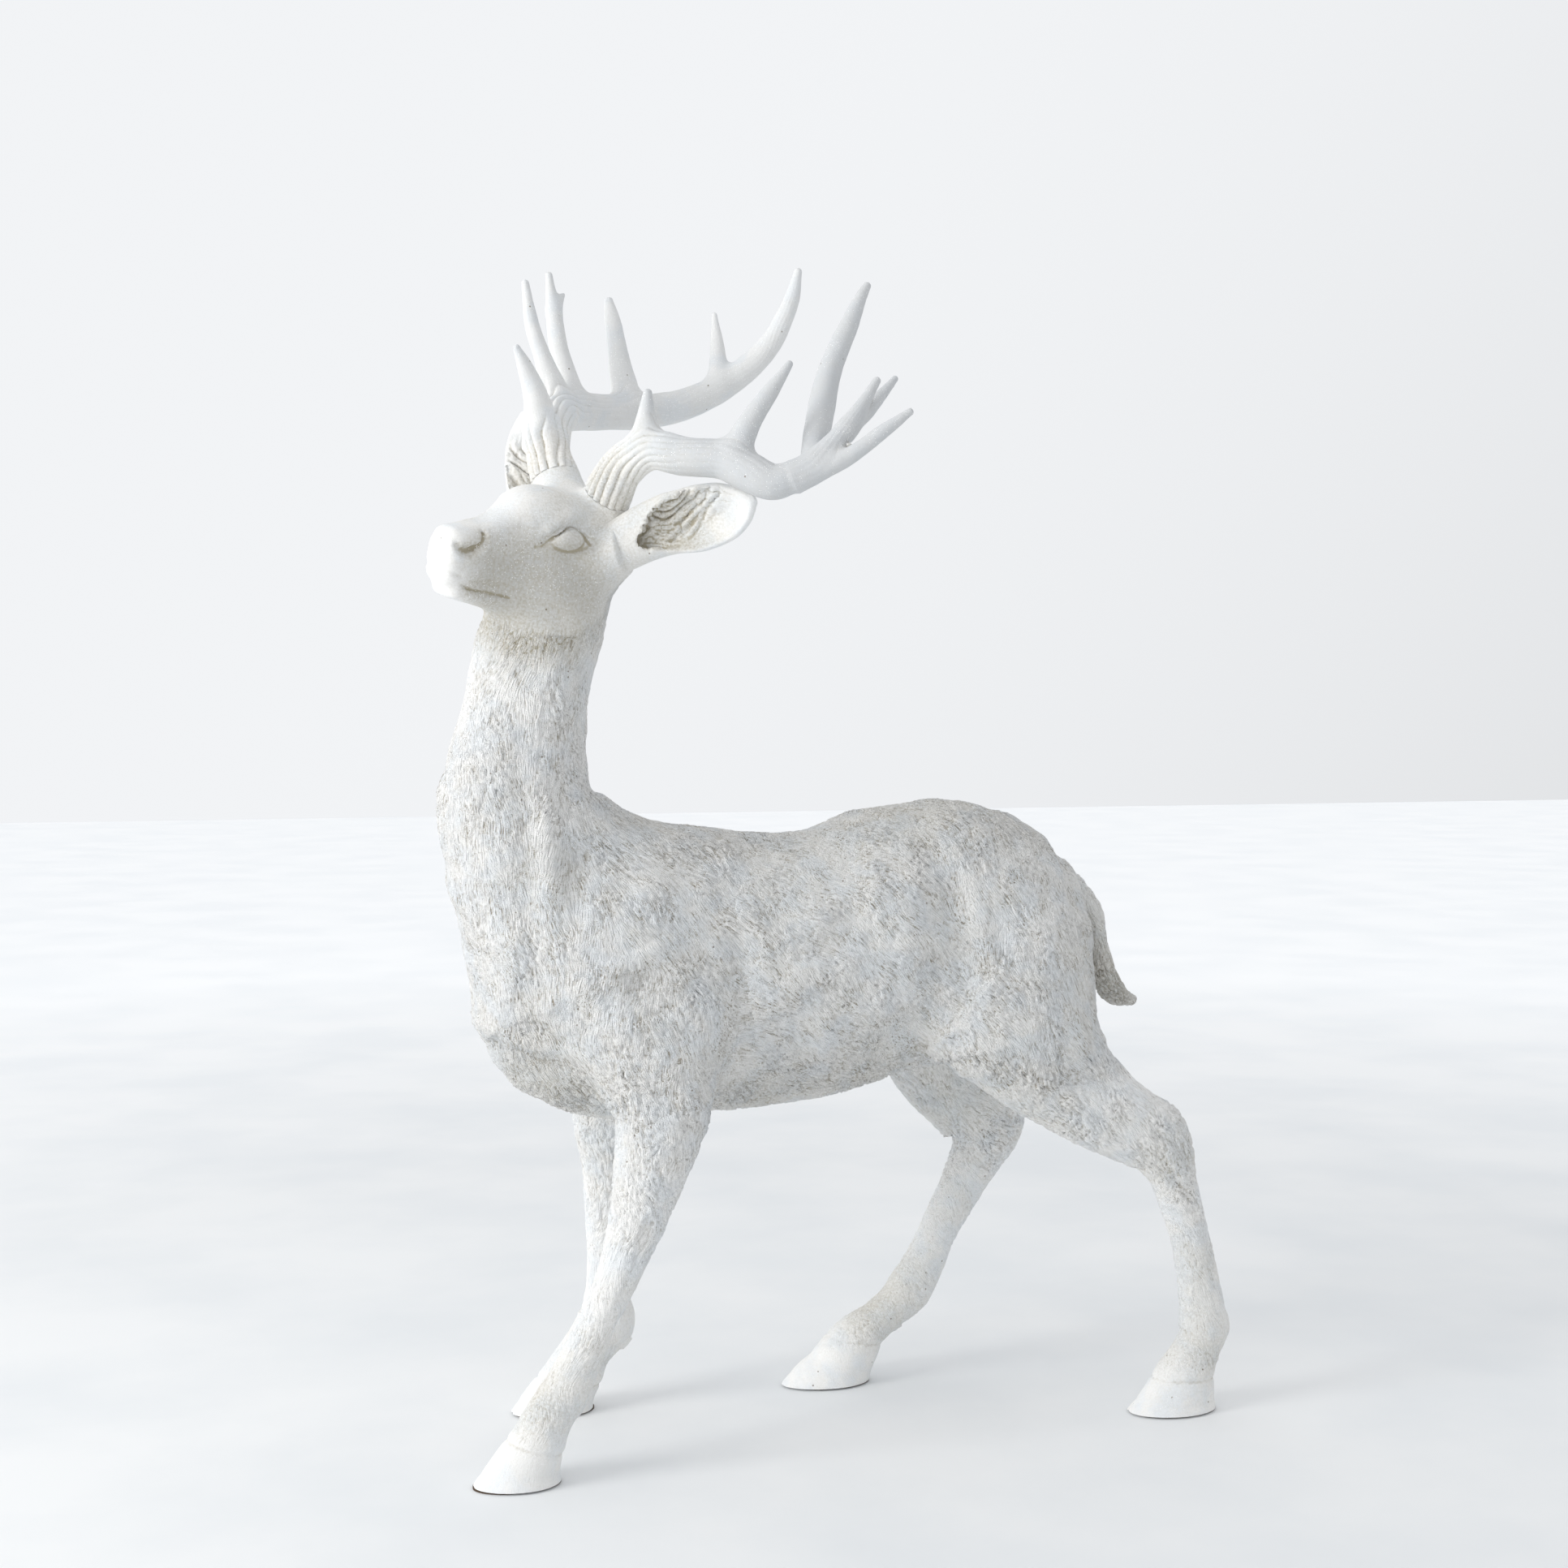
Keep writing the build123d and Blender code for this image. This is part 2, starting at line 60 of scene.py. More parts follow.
NECK_SEAM = box_mm("head_casting")[0][2]
FORE_SEAM = box_mm("left_fore_leg")[1][2]
SOLE = box_mm("left_fore_leg")[0][2]

# ---- the head's own axes: s along the muzzle, w to its left, t up --------------------------------
HEAD_CENTRE = np.array([-200.7, -5.0, 608.0])
YAW, DROP, ROLL = (math.radians(v) for v in (27.0, 2.0, 16.0))
MUZZLE = np.array([-math.cos(YAW) * math.cos(DROP), -math.sin(YAW) * math.cos(DROP), -math.sin(DROP)])
LEVEL_LEFT = np.array([math.sin(YAW), -math.cos(YAW), 0.0])
LEVEL_UP = np.cross(MUZZLE, LEVEL_LEFT)
LEFT = LEVEL_LEFT * math.cos(ROLL) - LEVEL_UP * math.sin(ROLL)
CROWN = LEVEL_UP * math.cos(ROLL) + LEVEL_LEFT * math.sin(ROLL)
HEAD_AXES = np.array([MUZZLE, LEFT, CROWN])


def on_head(s, w, t):
    """A place given in the head's own axes."""
    return HEAD_CENTRE + np.array([s, w, t]) @ HEAD_AXES


def in_head(points):
    """Points put in the head's own axes."""
    return (points - HEAD_CENTRE) @ HEAD_AXES.T


# ---- limbs: spans of the side profile, (front x, z), (rear x, z), y, half width ------------------
TRUNK = [
    ((-222, 268), (-222, 396), 0, 40),
    ((-192, 234), (-192, 411), 0, 53),
    ((-150, 219), (-150, 418), 0, 60),
    ((-110, 220), (-110, 419), 0, 61),
    ((-60, 222), (-60, 411), 0, 61),
    ((-10, 226), (-10, 414), 0, 63),
    ((40, 237), (40, 429), 0, 64),
    ((90, 250), (90, 432), 0, 61),
    ((130, 254), (130, 421), 0, 57),
    ((160, 262), (158, 406), 0, 50),
    ((180, 278), (178, 390), 0, 40),
]
NECK = [
    ((-226, 280), (-112, 372), 0, 50),
    ((-250, 335), (-134, 405), 0, 52),
    ((-264, 380), (-151, 424), 0, 50),
    ((-270, 422), (-166, 441), 0, 45),
    ((-265, 462), (-171, 464), 0, 40),
    ((-254, 500), (-171, 496), 0, 36),
    ((-247, 535), (-167, 522), 0, 33),
    ((-241, 558), (-159, 548), -1, 31),
    ((-233, 580), (-152, 576), -3, 27),
    ((-224, 604), (-146, 595), -7, 22),
]
LEFT_FORE = [
    ((-200, 330), (-112, 322), -34, 24),
    ((-183, 285), (-94, 285), -44, 26),
    ((-168, 238), (-98, 240), -54, 24),
    ((-168, 206), (-112, 209), -61, 21),
    ((-171, 172), (-133, 163), -64, 17),
    ((-179, 135), (-154, 123), -67, 15),
    ((-192, 105), (-170, 95), -68, 11),
    ((-205, 82), (-179, 72), -69, 11),
    ((-215, 66), (-189, 50), -69, 13),
    ((-228, 48), (-199, 34), -69, 13.5),
    ((-238, 31), (-203, 21), -69, 17),
    ((-252, 12), (-204, 8), -69, 19),
    ((-262, -4), (-205, -6), -69, 20),
    ((-278, -40), (-208, -40), -69, 20),
]
RIGHT_FORE = [
    ((-200, 330), (-112, 322), 34, 24),
    ((-183, 285), (-94, 285), 44, 26),
    ((-170, 238), (-98, 240), 54, 24),
    ((-167, 206), (-108, 209), 61, 21),
    ((-159, 170), (-118, 172), 64, 17),
    ((-156, 128), (-121, 128), 67, 15),
    ((-155, 100), (-124, 100), 68, 11),
    ((-157, 80), (-124, 76), 69, 11),
    ((-163, 66), (-121, 55), 69, 13),
    ((-175, 46), (-138, 35), 69, 13.5),
    ((-188, 27), (-144, 20), 69, 17),
    ((-201, 10), (-148, 8), 69, 19),
    ((-210, -5), (-149, -5), 69, 20),
    ((-226, -40), (-150, -40), 69, 20),
]
LEFT_THIGH = [
    ((88, 350), (182, 350), -26, 22),
    ((70, 312), (185, 316), -40, 26),
    ((62, 282), (186, 286), -48, 28),
    ((67, 260), (187, 262), -53, 27),
    ((82, 247), (172, 249), -56, 22),
]
LEFT_HIND = [
    ((66, 262), (104, 322), -50, 25),
    ((88, 241), (132, 300), -55, 25),
    ((108, 226), (157, 283), -59, 23.5),
    ((135, 210), (180, 264), -62.5, 20),
    ((162, 195), (204, 241), -65.5, 17),
    ((187, 184), (222, 226), -67, 15),
    ((206, 174), (239, 214), -68, 14),
    ((217, 163), (248, 194), -68.5, 13),
    ((226, 147), (253, 167), -69, 11.5),
    ((235, 125), (262, 133), -69, 11),
    ((241, 95), (271, 99), -69, 11),
    ((243, 72), (277, 73), -69, 12),
    ((242, 54), (281, 58), -69, 13.5),
    ((236, 39), (275, 44), -69, 14),
    ((226, 27), (271, 26), -69, 17),
    ((214, 9), (271, 9), -69, 19),
    ((204, -6), (271, -6), -69, 20),
    ((188, -40), (271, -40), -69, 20),
]
RIGHT_HIND = [
    ((84, 345), (184, 345), 28, 22),
    ((64, 294), (186, 300), 42, 27),
    ((60, 258), (182, 280), 52, 27),
    ((68, 234), (176, 262), 59, 24),
    ((83, 216), (173, 240), 63, 21),
    ((100, 199), (176, 220), 65, 18),
    ((114, 184), (181, 203), 66, 16),
    ((120, 166), (181, 184), 67, 14.5),
    ((117, 146), (158, 146), 69, 12.5),
    ((102, 115), (129, 103), 69, 11),
    ((90, 92), (119, 80), 69, 11),
    ((73, 70), (106, 55), 69, 13),
    ((53, 51), (88, 43), 69, 14),
    ((31, 37), (74, 29), 69, 17),
    ((8, 12), (64, 11), 69, 19),
    ((-8, -5), (60, -5), 69, 20),
    ((-26, -40), (60, -40), 69, 20),
]
SPANS = {"left_fore": LEFT_FORE, "right_fore": RIGHT_FORE, "left_hind": LEFT_HIND, "right_hind": RIGHT_HIND}
HOOF_SPAN, HOOF_REACH = -4, 45          # the span where a leg's hair ends, and how far round it to look
TAIL = [
    ((184, 362), (193, 380), 0, 8),
    ((197, 344), (212, 354), 0, 11),
    ((204, 320), (217, 327), 0, 12.5),
    ((208, 300), (226, 304), 0, 11.5),
    ((218, 285), (235, 293), 0, 7.5),
    ((237, 280), (242, 286), 0, 2.5),
]

# Skull and muzzle: (s, top, bottom, half width)
SKULL = [
    (-36, 20, -24, 20),
    (-28, 28, -34, 26),
    (-16, 35, -42, 31),
    (-2, 36.5, -47, 33),
    (10, 36, -48, 31.5),
    (24, 31, -45, 27.5),
    (38, 20.5, -37, 22.5),
    (52, 13, -31, 19.2),
    (64, 11.5, -30.5, 17.4),
    (72, 10.5, -29.5, 16.2),
    (76, 10, -29, 15.6),
]
LOWER_JAW = [
    (4, -16, -46.5, 24), (20, -18, -46.5, 22), (38, -20, -44.5, 18.6), (54, -21, -42.5, 15.6),
    (66, -21.5, -39.5, 13.8), (72, -22, -37.5, 12.6),
]

# ---- antlers: (x, y, z, radius) ------------------------------------------------------------------
LEFT_BEAM = [
    (-164, -3, 627, 17), (-159, -13, 639, 16), (-152, -27, 656, 14.2), (-139, -48, 666, 12.8),
    (-120, -66, 661, 12.7), (-99, -80, 658, 12.6), (-84, -92, 649, 12.6), (-70, -100, 643, 11.5),
    (-53, -106, 650, 9.4), (-37, -108, 663, 7.9), (-22, -106, 680, 6.3), (-11, -102, 694, 4.8),
    (1, -97, 711, 2.6),
]
LEFT_TINES = [
    [(-141, -46, 668, 10.5), (-142, -50, 687, 6.4), (-142, -54, 703, 3)],
    [(-92, -84, 662, 10.5), (-83, -88, 682, 7.4), (-69, -90, 703, 5.3), (-57, -90, 720, 2.3)],
    [(-58, -105, 644, 8), (-29, -118, 657, 5.7), (-5, -126, 675, 4.7), (11, -130, 687, 2.6)],
    [(-24, -105, 675, 5.4), (1, -88, 696, 4.8), (21, -78, 716, 2.6)],
    [(-45, -98, 655, 7.4), (-31, -74, 686, 9.1), (-18, -58, 721, 8.2), (-2, -50, 753, 6.6),
     (8, -46, 773, 4.4), (14, -44, 783, 2.6)],
]
RIGHT_BEAM = [
    (-183, 21, 641, 17), (-185, 27, 654, 16.3), (-188, 36, 674, 14.6), (-179, 56, 699, 13.7),
    (-165, 80, 707, 13.9), (-135, 103, 711, 12.9), (-102, 114, 714, 12.5), (-70, 119, 721, 11.4),
    (-39, 117, 736, 10.3), (-16, 110, 755, 9.1), (-3, 104, 772, 7.8), (7, 95, 798, 6), (10, 88, 818, 3),
]
RIGHT_TINES = [
    [(-191, 36, 678, 14), (-199, 26, 708, 8.8), (-207, 20, 726, 5.5), (-214, 16, 739, 2.6)],
    [(-170, 74, 706, 11.4), (-185, 68, 742, 6.3), (-193, 66, 764, 5.1), (-198, 64, 792, 2.6)],
    [(-158, 86, 710, 10.5), (-166, 99, 751, 7), (-169, 104, 778, 5.8), (-172, 106, 807, 2.6)],
    [(-169, 104, 780, 3.2), (-162, 107, 793, 1.6)],
    [(-112, 111, 714, 12), (-118, 118, 754, 7.7), (-121, 122, 778, 6), (-124, 124, 795, 3.2)],
    [(-42, 117, 735, 8.8), (-42, 121, 764, 5.4), (-43, 125, 789, 2.2)],
]

# ---- smooth forms --------------------------------------------------------------------------------
FAR = 60.0                              # a field's value where it has no influence
SAMPLES = 20                            # centre-line samples from one station to the next
COARSE = 4                              # how many samples are passed over in the first search


def smooth_path(points, samples=SAMPLES):
    """Rows along a Catmull-Rom curve through the rows given."""
    rows = np.asarray(points, float)
    padded = np.vstack([2 * rows[0] - rows[1], rows, 2 * rows[-1] - rows[-2]])
    out = []
    for i in range(len(rows) - 1):
        a, b, c, d = padded[i:i + 4]
        for t in np.arange(samples) / samples:
            out.append(0.5 * (2 * b + (c - a) * t + (2 * a - 5 * b + 4 * c - d) * t ** 2
                              + (3 * b - a - 3 * c + d) * t ** 3))
    out.append(rows[-1])
    return np.array(out)


def unit(rows):
    """Rows scaled to length one."""
    return rows / np.maximum(np.linalg.norm(rows, axis=-1, keepdims=True), 1e-9)


class Tube:
    """A limb with an elliptical section that changes along a curved centre line."""

    def __init__(self, centre, across, half_across, half_side, cap, square=2.0):
        rows = smooth_path(np.hstack([centre, across, np.c_[half_across, half_side]]))
        self.centre = rows[:, :3]
        self.way = unit(np.gradient(self.centre, axis=0))
        across = unit(rows[:, 3:6])
        along = np.sum(across * self.way, axis=1, keepdims=True)
        self.across = unit(across - along * self.way)
        self.side = np.cross(self.way, self.across)
        self.size = np.c_[rows[:, 6] * np.sqrt(1 - along[:, 0] ** 2), rows[:, 7]]
        self.cap, self.square = cap, square
        reach = self.size.max() + FAR / 2
        self.low, self.high = self.centre.min(0) - reach, self.centre.max(0) + reach

    def near(self, points):
        """Which points the tube reaches."""
        return np.all((points > self.low) & (points < self.high), axis=1)

    def local(self, points):
        """Offsets across, to the side and along, the section's half sizes, and the place along."""
        best = np.full(len(points), np.inf)
        index = np.zeros(len(points), int)
        last = len(self.centre) - 1
        for i in range(0, last + COARSE, COARSE):
            i = min(i, last)
            gap = np.sum((points - self.centre[i]) ** 2, axis=1)
            closer = gap < best
            best[closer] = gap[closer]
            index[closer] = i
        rough = index.copy()
        for shift in range(1 - COARSE, COARSE):
            other = np.clip(rough + shift, 0, last)
            gap = np.sum((points - self.centre[other]) ** 2, axis=1)
            closer = gap < best
            best[closer] = gap[closer]
            index[closer] = other[closer]
        step_on = np.sum((points - self.centre[index]) * self.way[index], axis=1) > 0
        start = np.clip(np.where(step_on, index, index - 1), 0, last - 1)
        edge = self.centre[start + 1] - self.centre[start]
        offset = points - self.centre[start]
        t = np.clip(np.sum(offset * edge, axis=1) / np.sum(edge * edge, axis=1), 0, 1)[:, None]

        def blend(rows):
            return rows[start] * (1 - t) + rows[start + 1] * t

        offset = points - blend(self.centre)
        across, side = unit(blend(self.across)), unit(blend(self.side))
        x, y = np.sum(offset * across, axis=1), np.sum(offset * side, axis=1)
        z = np.linalg.norm(offset - x[:, None] * across - y[:, None] * side, axis=1)
        return x, y, z, blend(self.size), (start + t[:, 0]) / last, unit(blend(self.way))

    def field(self, points):
        """Signed distance to the limb's skin, near it."""
        out = np.full(len(points), FAR)
        near = self.near(points)
        if near.any():
            x, y, z, size, _, _ = self.local(points[near])
            n = self.square
            parts = np.abs(x / size[:, 0]) ** n + np.abs(y / size[:, 1]) ** n + (z / self.cap) ** n
            ratio = parts ** (1 / n)
            length = np.sqrt(x * x + y * y + z * z)
            deep = -np.minimum(size[:, 0], size[:, 1])
            out[near] = np.where(ratio > 0.05, length * (1 - 1 / np.maximum(ratio, 0.05)), deep)
        return out


def limb(spans, cap=4.0):
    """A tube from spans of the side profile."""
    front = np.array([(f[0], y, f[1]) for f, r, y, w in spans], float)
    rear = np.array([(r[0], y, r[1]) for f, r, y, w in spans], float)
    half = np.linalg.norm(rear - front, axis=1) / 2
    return Tube((front + rear) / 2, unit(rear - front), half, [w for f, r, y, w in spans], cap)


def branch(stations, cap=2.5):
    """A round tube through (x, y, z, radius)."""
    rows = np.array(stations, float)
    way = np.gradient(rows[:, :3], axis=0)
    upright = np.tile([0.13, 0.99, 0.05], (len(rows), 1))
    across = unit(upright - np.sum(upright * unit(way), axis=1, keepdims=True) * unit(way))
    return Tube(rows[:, :3], across, rows[:, 3], rows[:, 3], cap)


def head_tube(rows, cap, square):
    """A tube along the muzzle from (s, top, bottom, half width)."""
    centre = np.array([on_head(s, 0, (top + bottom) / 2) for s, top, bottom, w in rows])
    half = [(top - bottom) / 2 for s, top, bottom, w in rows]
    wide = [w for s, top, bottom, w in rows]
    return Tube(centre, np.tile(CROWN, (len(rows), 1)), half, wide, cap, square)


def join(a, b, blend):
    """The union of two fields with a soft fold where they meet."""
    h = np.clip(0.5 + 0.5 * (b - a) / blend, 0, 1)
    return b * (1 - h) + a * h - blend * h * (1 - h)


# ---- carved features -----------------------------------------------------------------------------
def bulge(points, centre, sizes, axes, height):
    """A soft rise round a centre; a negative height is a hollow."""
    out = np.zeros(len(points))
    offset = points - centre
    near = np.sum(offset ** 2, axis=1) < (3 * max(sizes)) ** 2
    if near.any():
        local = offset[near] @ np.asarray(axes, float).T / np.asarray(sizes, float)
        out[near] = height * np.exp(-np.sum(local ** 2, axis=1))
    return out


def stroke(points, path, width, height):
    """A rise along a curve; a negative height is a groove. It fades at both ends."""
    line = smooth_path(path, 6) if len(path) > 2 else np.asarray(path, float)
    reach = 3 * width
    near = np.all((points > line.min(0) - reach) & (points < line.max(0) + reach), axis=1)
    out = np.zeros(len(points))
    if near.any():
        local = points[near]
        best = np.full(len(local), np.inf)
        place = np.zeros(len(local))
        for i in range(len(line) - 1):
            edge = line[i + 1] - line[i]
            t = np.clip((local - line[i]) @ edge / max(edge @ edge, 1e-9), 0, 1)
            gap = np.sum((local - line[i] - t[:, None] * edge) ** 2, axis=1)
            closer = gap < best
            best[closer] = gap[closer]
            place[closer] = (i + t[closer]) / (len(line) - 1)
        fade = np.clip(np.minimum(place, 1 - place) * 6 + 0.35, 0, 1)
        out[near] = height * fade * np.exp(-best / width ** 2)
    return out


# ---- meshing -------------------------------------------------------------------------------------
def surface_net(field, low, high, step):
    """Quads over a field's zero surface, one vertex in each grid cell that the surface crosses."""
    axes = [np.arange(low[k], high[k] + step, step) for k in range(3)]
    grid = np.stack(np.meshgrid(*axes, indexing="ij"), axis=-1)
    values = field(grid.reshape(-1, 3)).reshape(grid.shape[:3])
    inside = values < 0
    cells = tuple(n - 1 for n in values.shape)
    total, count = np.zeros(cells + (3,)), np.zeros(cells)
    early, late, whole = slice(None, -1), slice(1, None), slice(None)
    crossings = []
    for axis in range(3):
        first = tuple(early if k == axis else whole for k in range(3))
        second = tuple(late if k == axis else whole for k in range(3))
        crossing = inside[first] != inside[second]
        change = np.where(crossing, values[first] - values[second], 1.0)
        place = grid[first].copy()
        place[..., axis] += np.where(crossing, values[first] / change, 0) * step
        place *= crossing[..., None]
        b, c = (axis + 1) % 3, (axis + 2) % 3
        for part_b in (early, late):
            for part_c in (early, late):
                pick = [whole] * 3
                pick[b], pick[c] = part_b, part_c
                total += place[tuple(pick)]
                count += crossing[tuple(pick)]
        crossings.append(crossing)
    active = count > 0
    number = np.full(cells, -1)
    number[active] = np.arange(active.sum())
    quads = []
    for axis, crossing in enumerate(crossings):
        b, c = (axis + 1) % 3, (axis + 2) % 3
        pick = [whole] * 3
        pick[b], pick[c] = slice(1, -1), slice(1, -1)
        where = np.argwhere(crossing[tuple(pick)])
        where[:, b] += 1
        where[:, c] += 1
        corners = []
        for shift_b, shift_c in ((-1, -1), (0, -1), (0, 0), (-1, 0)):
            cell = where.copy()
            cell[:, b] += shift_b
            cell[:, c] += shift_c
            corners.append(number[tuple(cell.T)])
        quad = np.stack(corners, axis=1)
        flip = ~inside[tuple(where.T)]
        quad[flip] = quad[flip][:, ::-1]
        quads.append(quad)
    return total[active] / count[active][:, None], np.vstack(quads)


def halve(points, quads):
    """Each quad in four."""
    edges = np.sort(np.stack([quads, np.roll(quads, -1, axis=1)], axis=2).reshape(-1, 2), axis=1)
    key = edges[:, 0] * len(points) + edges[:, 1]
    _, first, index = np.unique(key, return_index=True, return_inverse=True)
    middles = points[edges[first]].mean(axis=1)
    on_edge = (index + len(points)).reshape(-1, 4)
    centre = np.arange(len(quads)) + len(points) + len(middles)
    faces = [np.stack([quads[:, k], on_edge[:, k], centre, on_edge[:, k - 1]], axis=1) for k in range(4)]
    return np.vstack([points, middles, points[quads].mean(axis=1)]), np.vstack(faces)


def gather(index, rows, count):
    """Rows of three numbers, added up at the vertices that index names."""
    return np.stack([np.bincount(index, rows[:, axis], count) for axis in range(3)], axis=1)


def normals(points, quads):
    """Vertex normals of a quad mesh."""
    diagonal = points[quads[:, 2]] - points[quads[:, 0]]
    face = np.cross(diagonal, points[quads[:, 3]] - points[quads[:, 1]])
    out = np.zeros_like(points)
    for k in range(4):
        out += gather(quads[:, k], face, len(points))
    return unit(out)


def relax(points, quads, share=0.5):
    """Each vertex moved towards the middle of its neighbours."""
    total, count = np.zeros_like(points), np.zeros(len(points))
    for k in range(4):
        other = quads[:, (k + 1) % 4]
        for start, end in ((quads[:, k], other), (other, quads[:, k])):
            count += np.bincount(start, minlength=len(points))
            total += gather(start, points[end], len(points))
    middle = total / np.maximum(count, 1)[:, None]
    return points + share * (middle - points)


def settle(points, quads, field, rounds):
    """Moves vertices along their normals onto the field's zero surface."""
    for _ in range(rounds):
        distance = np.clip(field(points), -2.5, 2.5) * 0.8
        points = points - normals(points, quads) * distance[:, None]
    return points


def skin(plain, carved, low, high, step, levels):
    """A fine even mesh over a form: its plain shape first, then its carved one."""
    points, quads = surface_net(plain, low, high, step)
    points = settle(relax(points, quads), quads, plain, 1)
    for _ in range(levels):
        points, quads = halve(points, quads)
        points = settle(relax(points, quads, 0.6), quads, carved, 2)
    points = settle(relax(points, quads, 0.3), quads, carved, 2)
    return points, quads


# ---- noise and hair ------------------------------------------------------------------------------
def lattice(i, j, k, seed):
    """A repeatable value from -1 to 1 for each whole-number cell corner."""
    n = (i * 374761393 + j * 668265263 + k * 2147483647 + seed * 1274126177) & 0xFFFFFFFF
    n = ((n ^ (n >> 13)) * 1274126177) & 0xFFFFFFFF
    n = ((n ^ (n >> 16)) * 2246822519) & 0xFFFFFFFF
    return ((n ^ (n >> 15)) & 0xFFFFFF) / 8388607.5 - 1.0


def noise(points, size, seed):
    """Smooth value noise whose cells are size millimetres wide."""
    q = points / size
    cell = np.floor(q).astype(np.int64)
    f = q - cell
    f = f * f * (3 - 2 * f)
    out = np.zeros(len(points))
    for di in (0, 1):
        for dj in (0, 1):
            for dk in (0, 1):
                share = ((f[:, 0] if di else 1 - f[:, 0]) * (f[:, 1] if dj else 1 - f[:, 1])
                         * (f[:, 2] if dk else 1 - f[:, 2]))
                out += share * lattice(cell[:, 0] + di, cell[:, 1] + dj, cell[:, 2] + dk, seed)
    return out


# The lie of the hair: (x, y, z) and the way it lies, on the left side; the right side mirrors it.
HAIR_LIE = [
    ((-200, -30, 560), (0.05, -0.1, -1)), ((-165, -25, 520), (0.1, 0, -1)),
    ((-240, -20, 520), (-0.15, 0, -1)), ((-215, -35, 470), (-0.1, -0.1, -1)),
    ((-262, -20, 440), (-0.05, 0, -1)), ((-170, -30, 450), (0.3, -0.2, -1)),
    ((-215, -45, 400), (0.15, -0.2, -1)), ((-262, -20, 370), (0.2, 0.1, -1)),
    ((-235, -35, 310), (0.5, 0.1, -1)), ((-190, -45, 250), (0.7, 0.2, -0.8)),
    ((-120, -25, 415), (0.8, -0.4, -0.5)), ((-150, -55, 370), (0.35, -0.2, -1)),
    ((-175, -58, 320), (0.0, 0, -1)), ((-150, -60, 270), (0.1, 0, -1)),
    ((-110, -58, 300), (0.5, 0, -0.9)), ((-90, -60, 360), (0.9, -0.1, -0.6)),
    ((-60, -60, 290), (1, 0, -0.45)), ((-10, -30, 410), (1, -0.2, -0.3)),
    ((0, -62, 340), (0.9, 0, -0.6)), ((-20, -50, 240), (1, 0.1, -0.25)),
    ((50, -62, 300), (0.8, 0, -0.7)), ((75, -55, 360), (0.7, 0, -0.8)),
    ((95, -25, 425), (0.8, -0.3, -0.5)), ((110, -58, 330), (0.2, 0, -1)),
    ((150, -50, 380), (0.5, -0.2, -0.9)), ((165, -52, 310), (0.15, 0, -1)),
    ((190, -25, 350), (0.2, 0, -1)), ((110, -58, 270), (0.5, 0, -0.9)),
    ((170, -55, 250), (0.6, 0, -0.8)), ((-140, -62, 210), (0, 0, -1)),
    ((-165, -66, 120), (-0.2, 0, -1)), ((-225, -69, 45), (-0.4, 0, -1)),
    ((150, -62, 220), (0.8, 0, -0.6)), ((210, -66, 200), (0.7, 0, -0.7)),
    ((250, -69, 120), (0.3, 0, -1)), ((215, 0, 320), (0.4, 0, -1)), ((228, 0, 290), (0.7, 0, -0.6)),
]


def hair_way(points):
    """The direction the hair lies in at each point, wavering a little."""
    folded = np.c_[points[:, 0], -np.abs(points[:, 1]), points[:, 2]]
    total = np.zeros_like(points)
    for place, way in HAIR_LIE:
        gap = np.sum((folded - place) ** 2, axis=1)
        total += unit(np.array(way, float)) * (1 / (gap + 200.0) ** 1.5)[:, None]
    total[:, 1] *= np.where(points[:, 1] > 0, -1, 1)
    way = unit(total)
    waver = 0.55 * noise(points, 26, 5) + 0.35 * noise(points, 11, 6)
    side = unit(np.cross(way, [0.02, 1.0, 0.03]))
    return unit(way + side * waver[:, None])


def combed(points, way, size, length, seed):
    """Noise drawn out along the lie of the hair, about -1 to 1."""
    places = np.linspace(-0.5, 0.5, 9)
    shares = np.cos(places * math.pi * 0.9)
    total = np.zeros(len(points))
    for place, share in zip(places, shares):
        total += share * noise(points + way * (place * length), size, seed)
    return np.clip(total / np.sqrt(np.sum(shares ** 2)) * 1.3, -1, 1)


def locks(points, way, size, length, seed):
    """Rounded locks of hair with sharp furrows between them, 0 to 1."""
    return np.sqrt(np.abs(combed(points, way, size, length, seed)))


def ramp(values, start, end):
    """0 at start, 1 at end, eased."""
    t = np.clip((values - start) / (end - start), 0, 1)
    return t * t * (3 - 2 * t)


# ---- the figure's limbs --------------------------------------------------------------------------
trunk = limb(TRUNK, cap=14)
neck = limb(NECK, cap=10)
legs = {name: limb(spans) for name, spans in SPANS.items()}
thigh = limb(LEFT_THIGH, cap=8)
tail = limb(TAIL, cap=3)
skull = head_tube(SKULL, cap=11, square=2.5)
lower_jaw = head_tube(LOWER_JAW, cap=7.5, square=2.3)

# The seam of each antler: its middle and the way the antler leaves it
LEFT_BASE = (np.array([-159, -13, 639.0]), unit(np.array([7, -14, 17.0])))
RIGHT_BASE = (np.array([-185, 27, 654.0]), unit(np.array([-3, 9, 20.0])))


# A pedicle's stations: how far behind the seam, and how much wider than the antler
PEDICLE = [(30, 8), (14, 3), (4, 1), (-6, 0.5)]


def pedicle(base, radius):
    """The stub of bone under an antler."""
    middle, way = base
    return branch([(*(middle - way * back), radius + more) for back, more in PEDICLE], cap=3)


pedicles = [pedicle(LEFT_BASE, 15.8), pedicle(RIGHT_BASE, 16.1)]
ear_roots = [
    branch([(-182, -6, 603, 15), (-166, -16, 600, 18), (-152, -26, 603, 17)], cap=4),
    branch([(-193, 16, 611, 15), (-189, 32, 615, 18), (-186, 42, 620, 17)], cap=4),
]
left_antler = [branch(LEFT_BEAM)] + [branch(tine) for tine in LEFT_TINES]
right_antler = [branch(RIGHT_BEAM)] + [branch(tine) for tine in RIGHT_TINES]


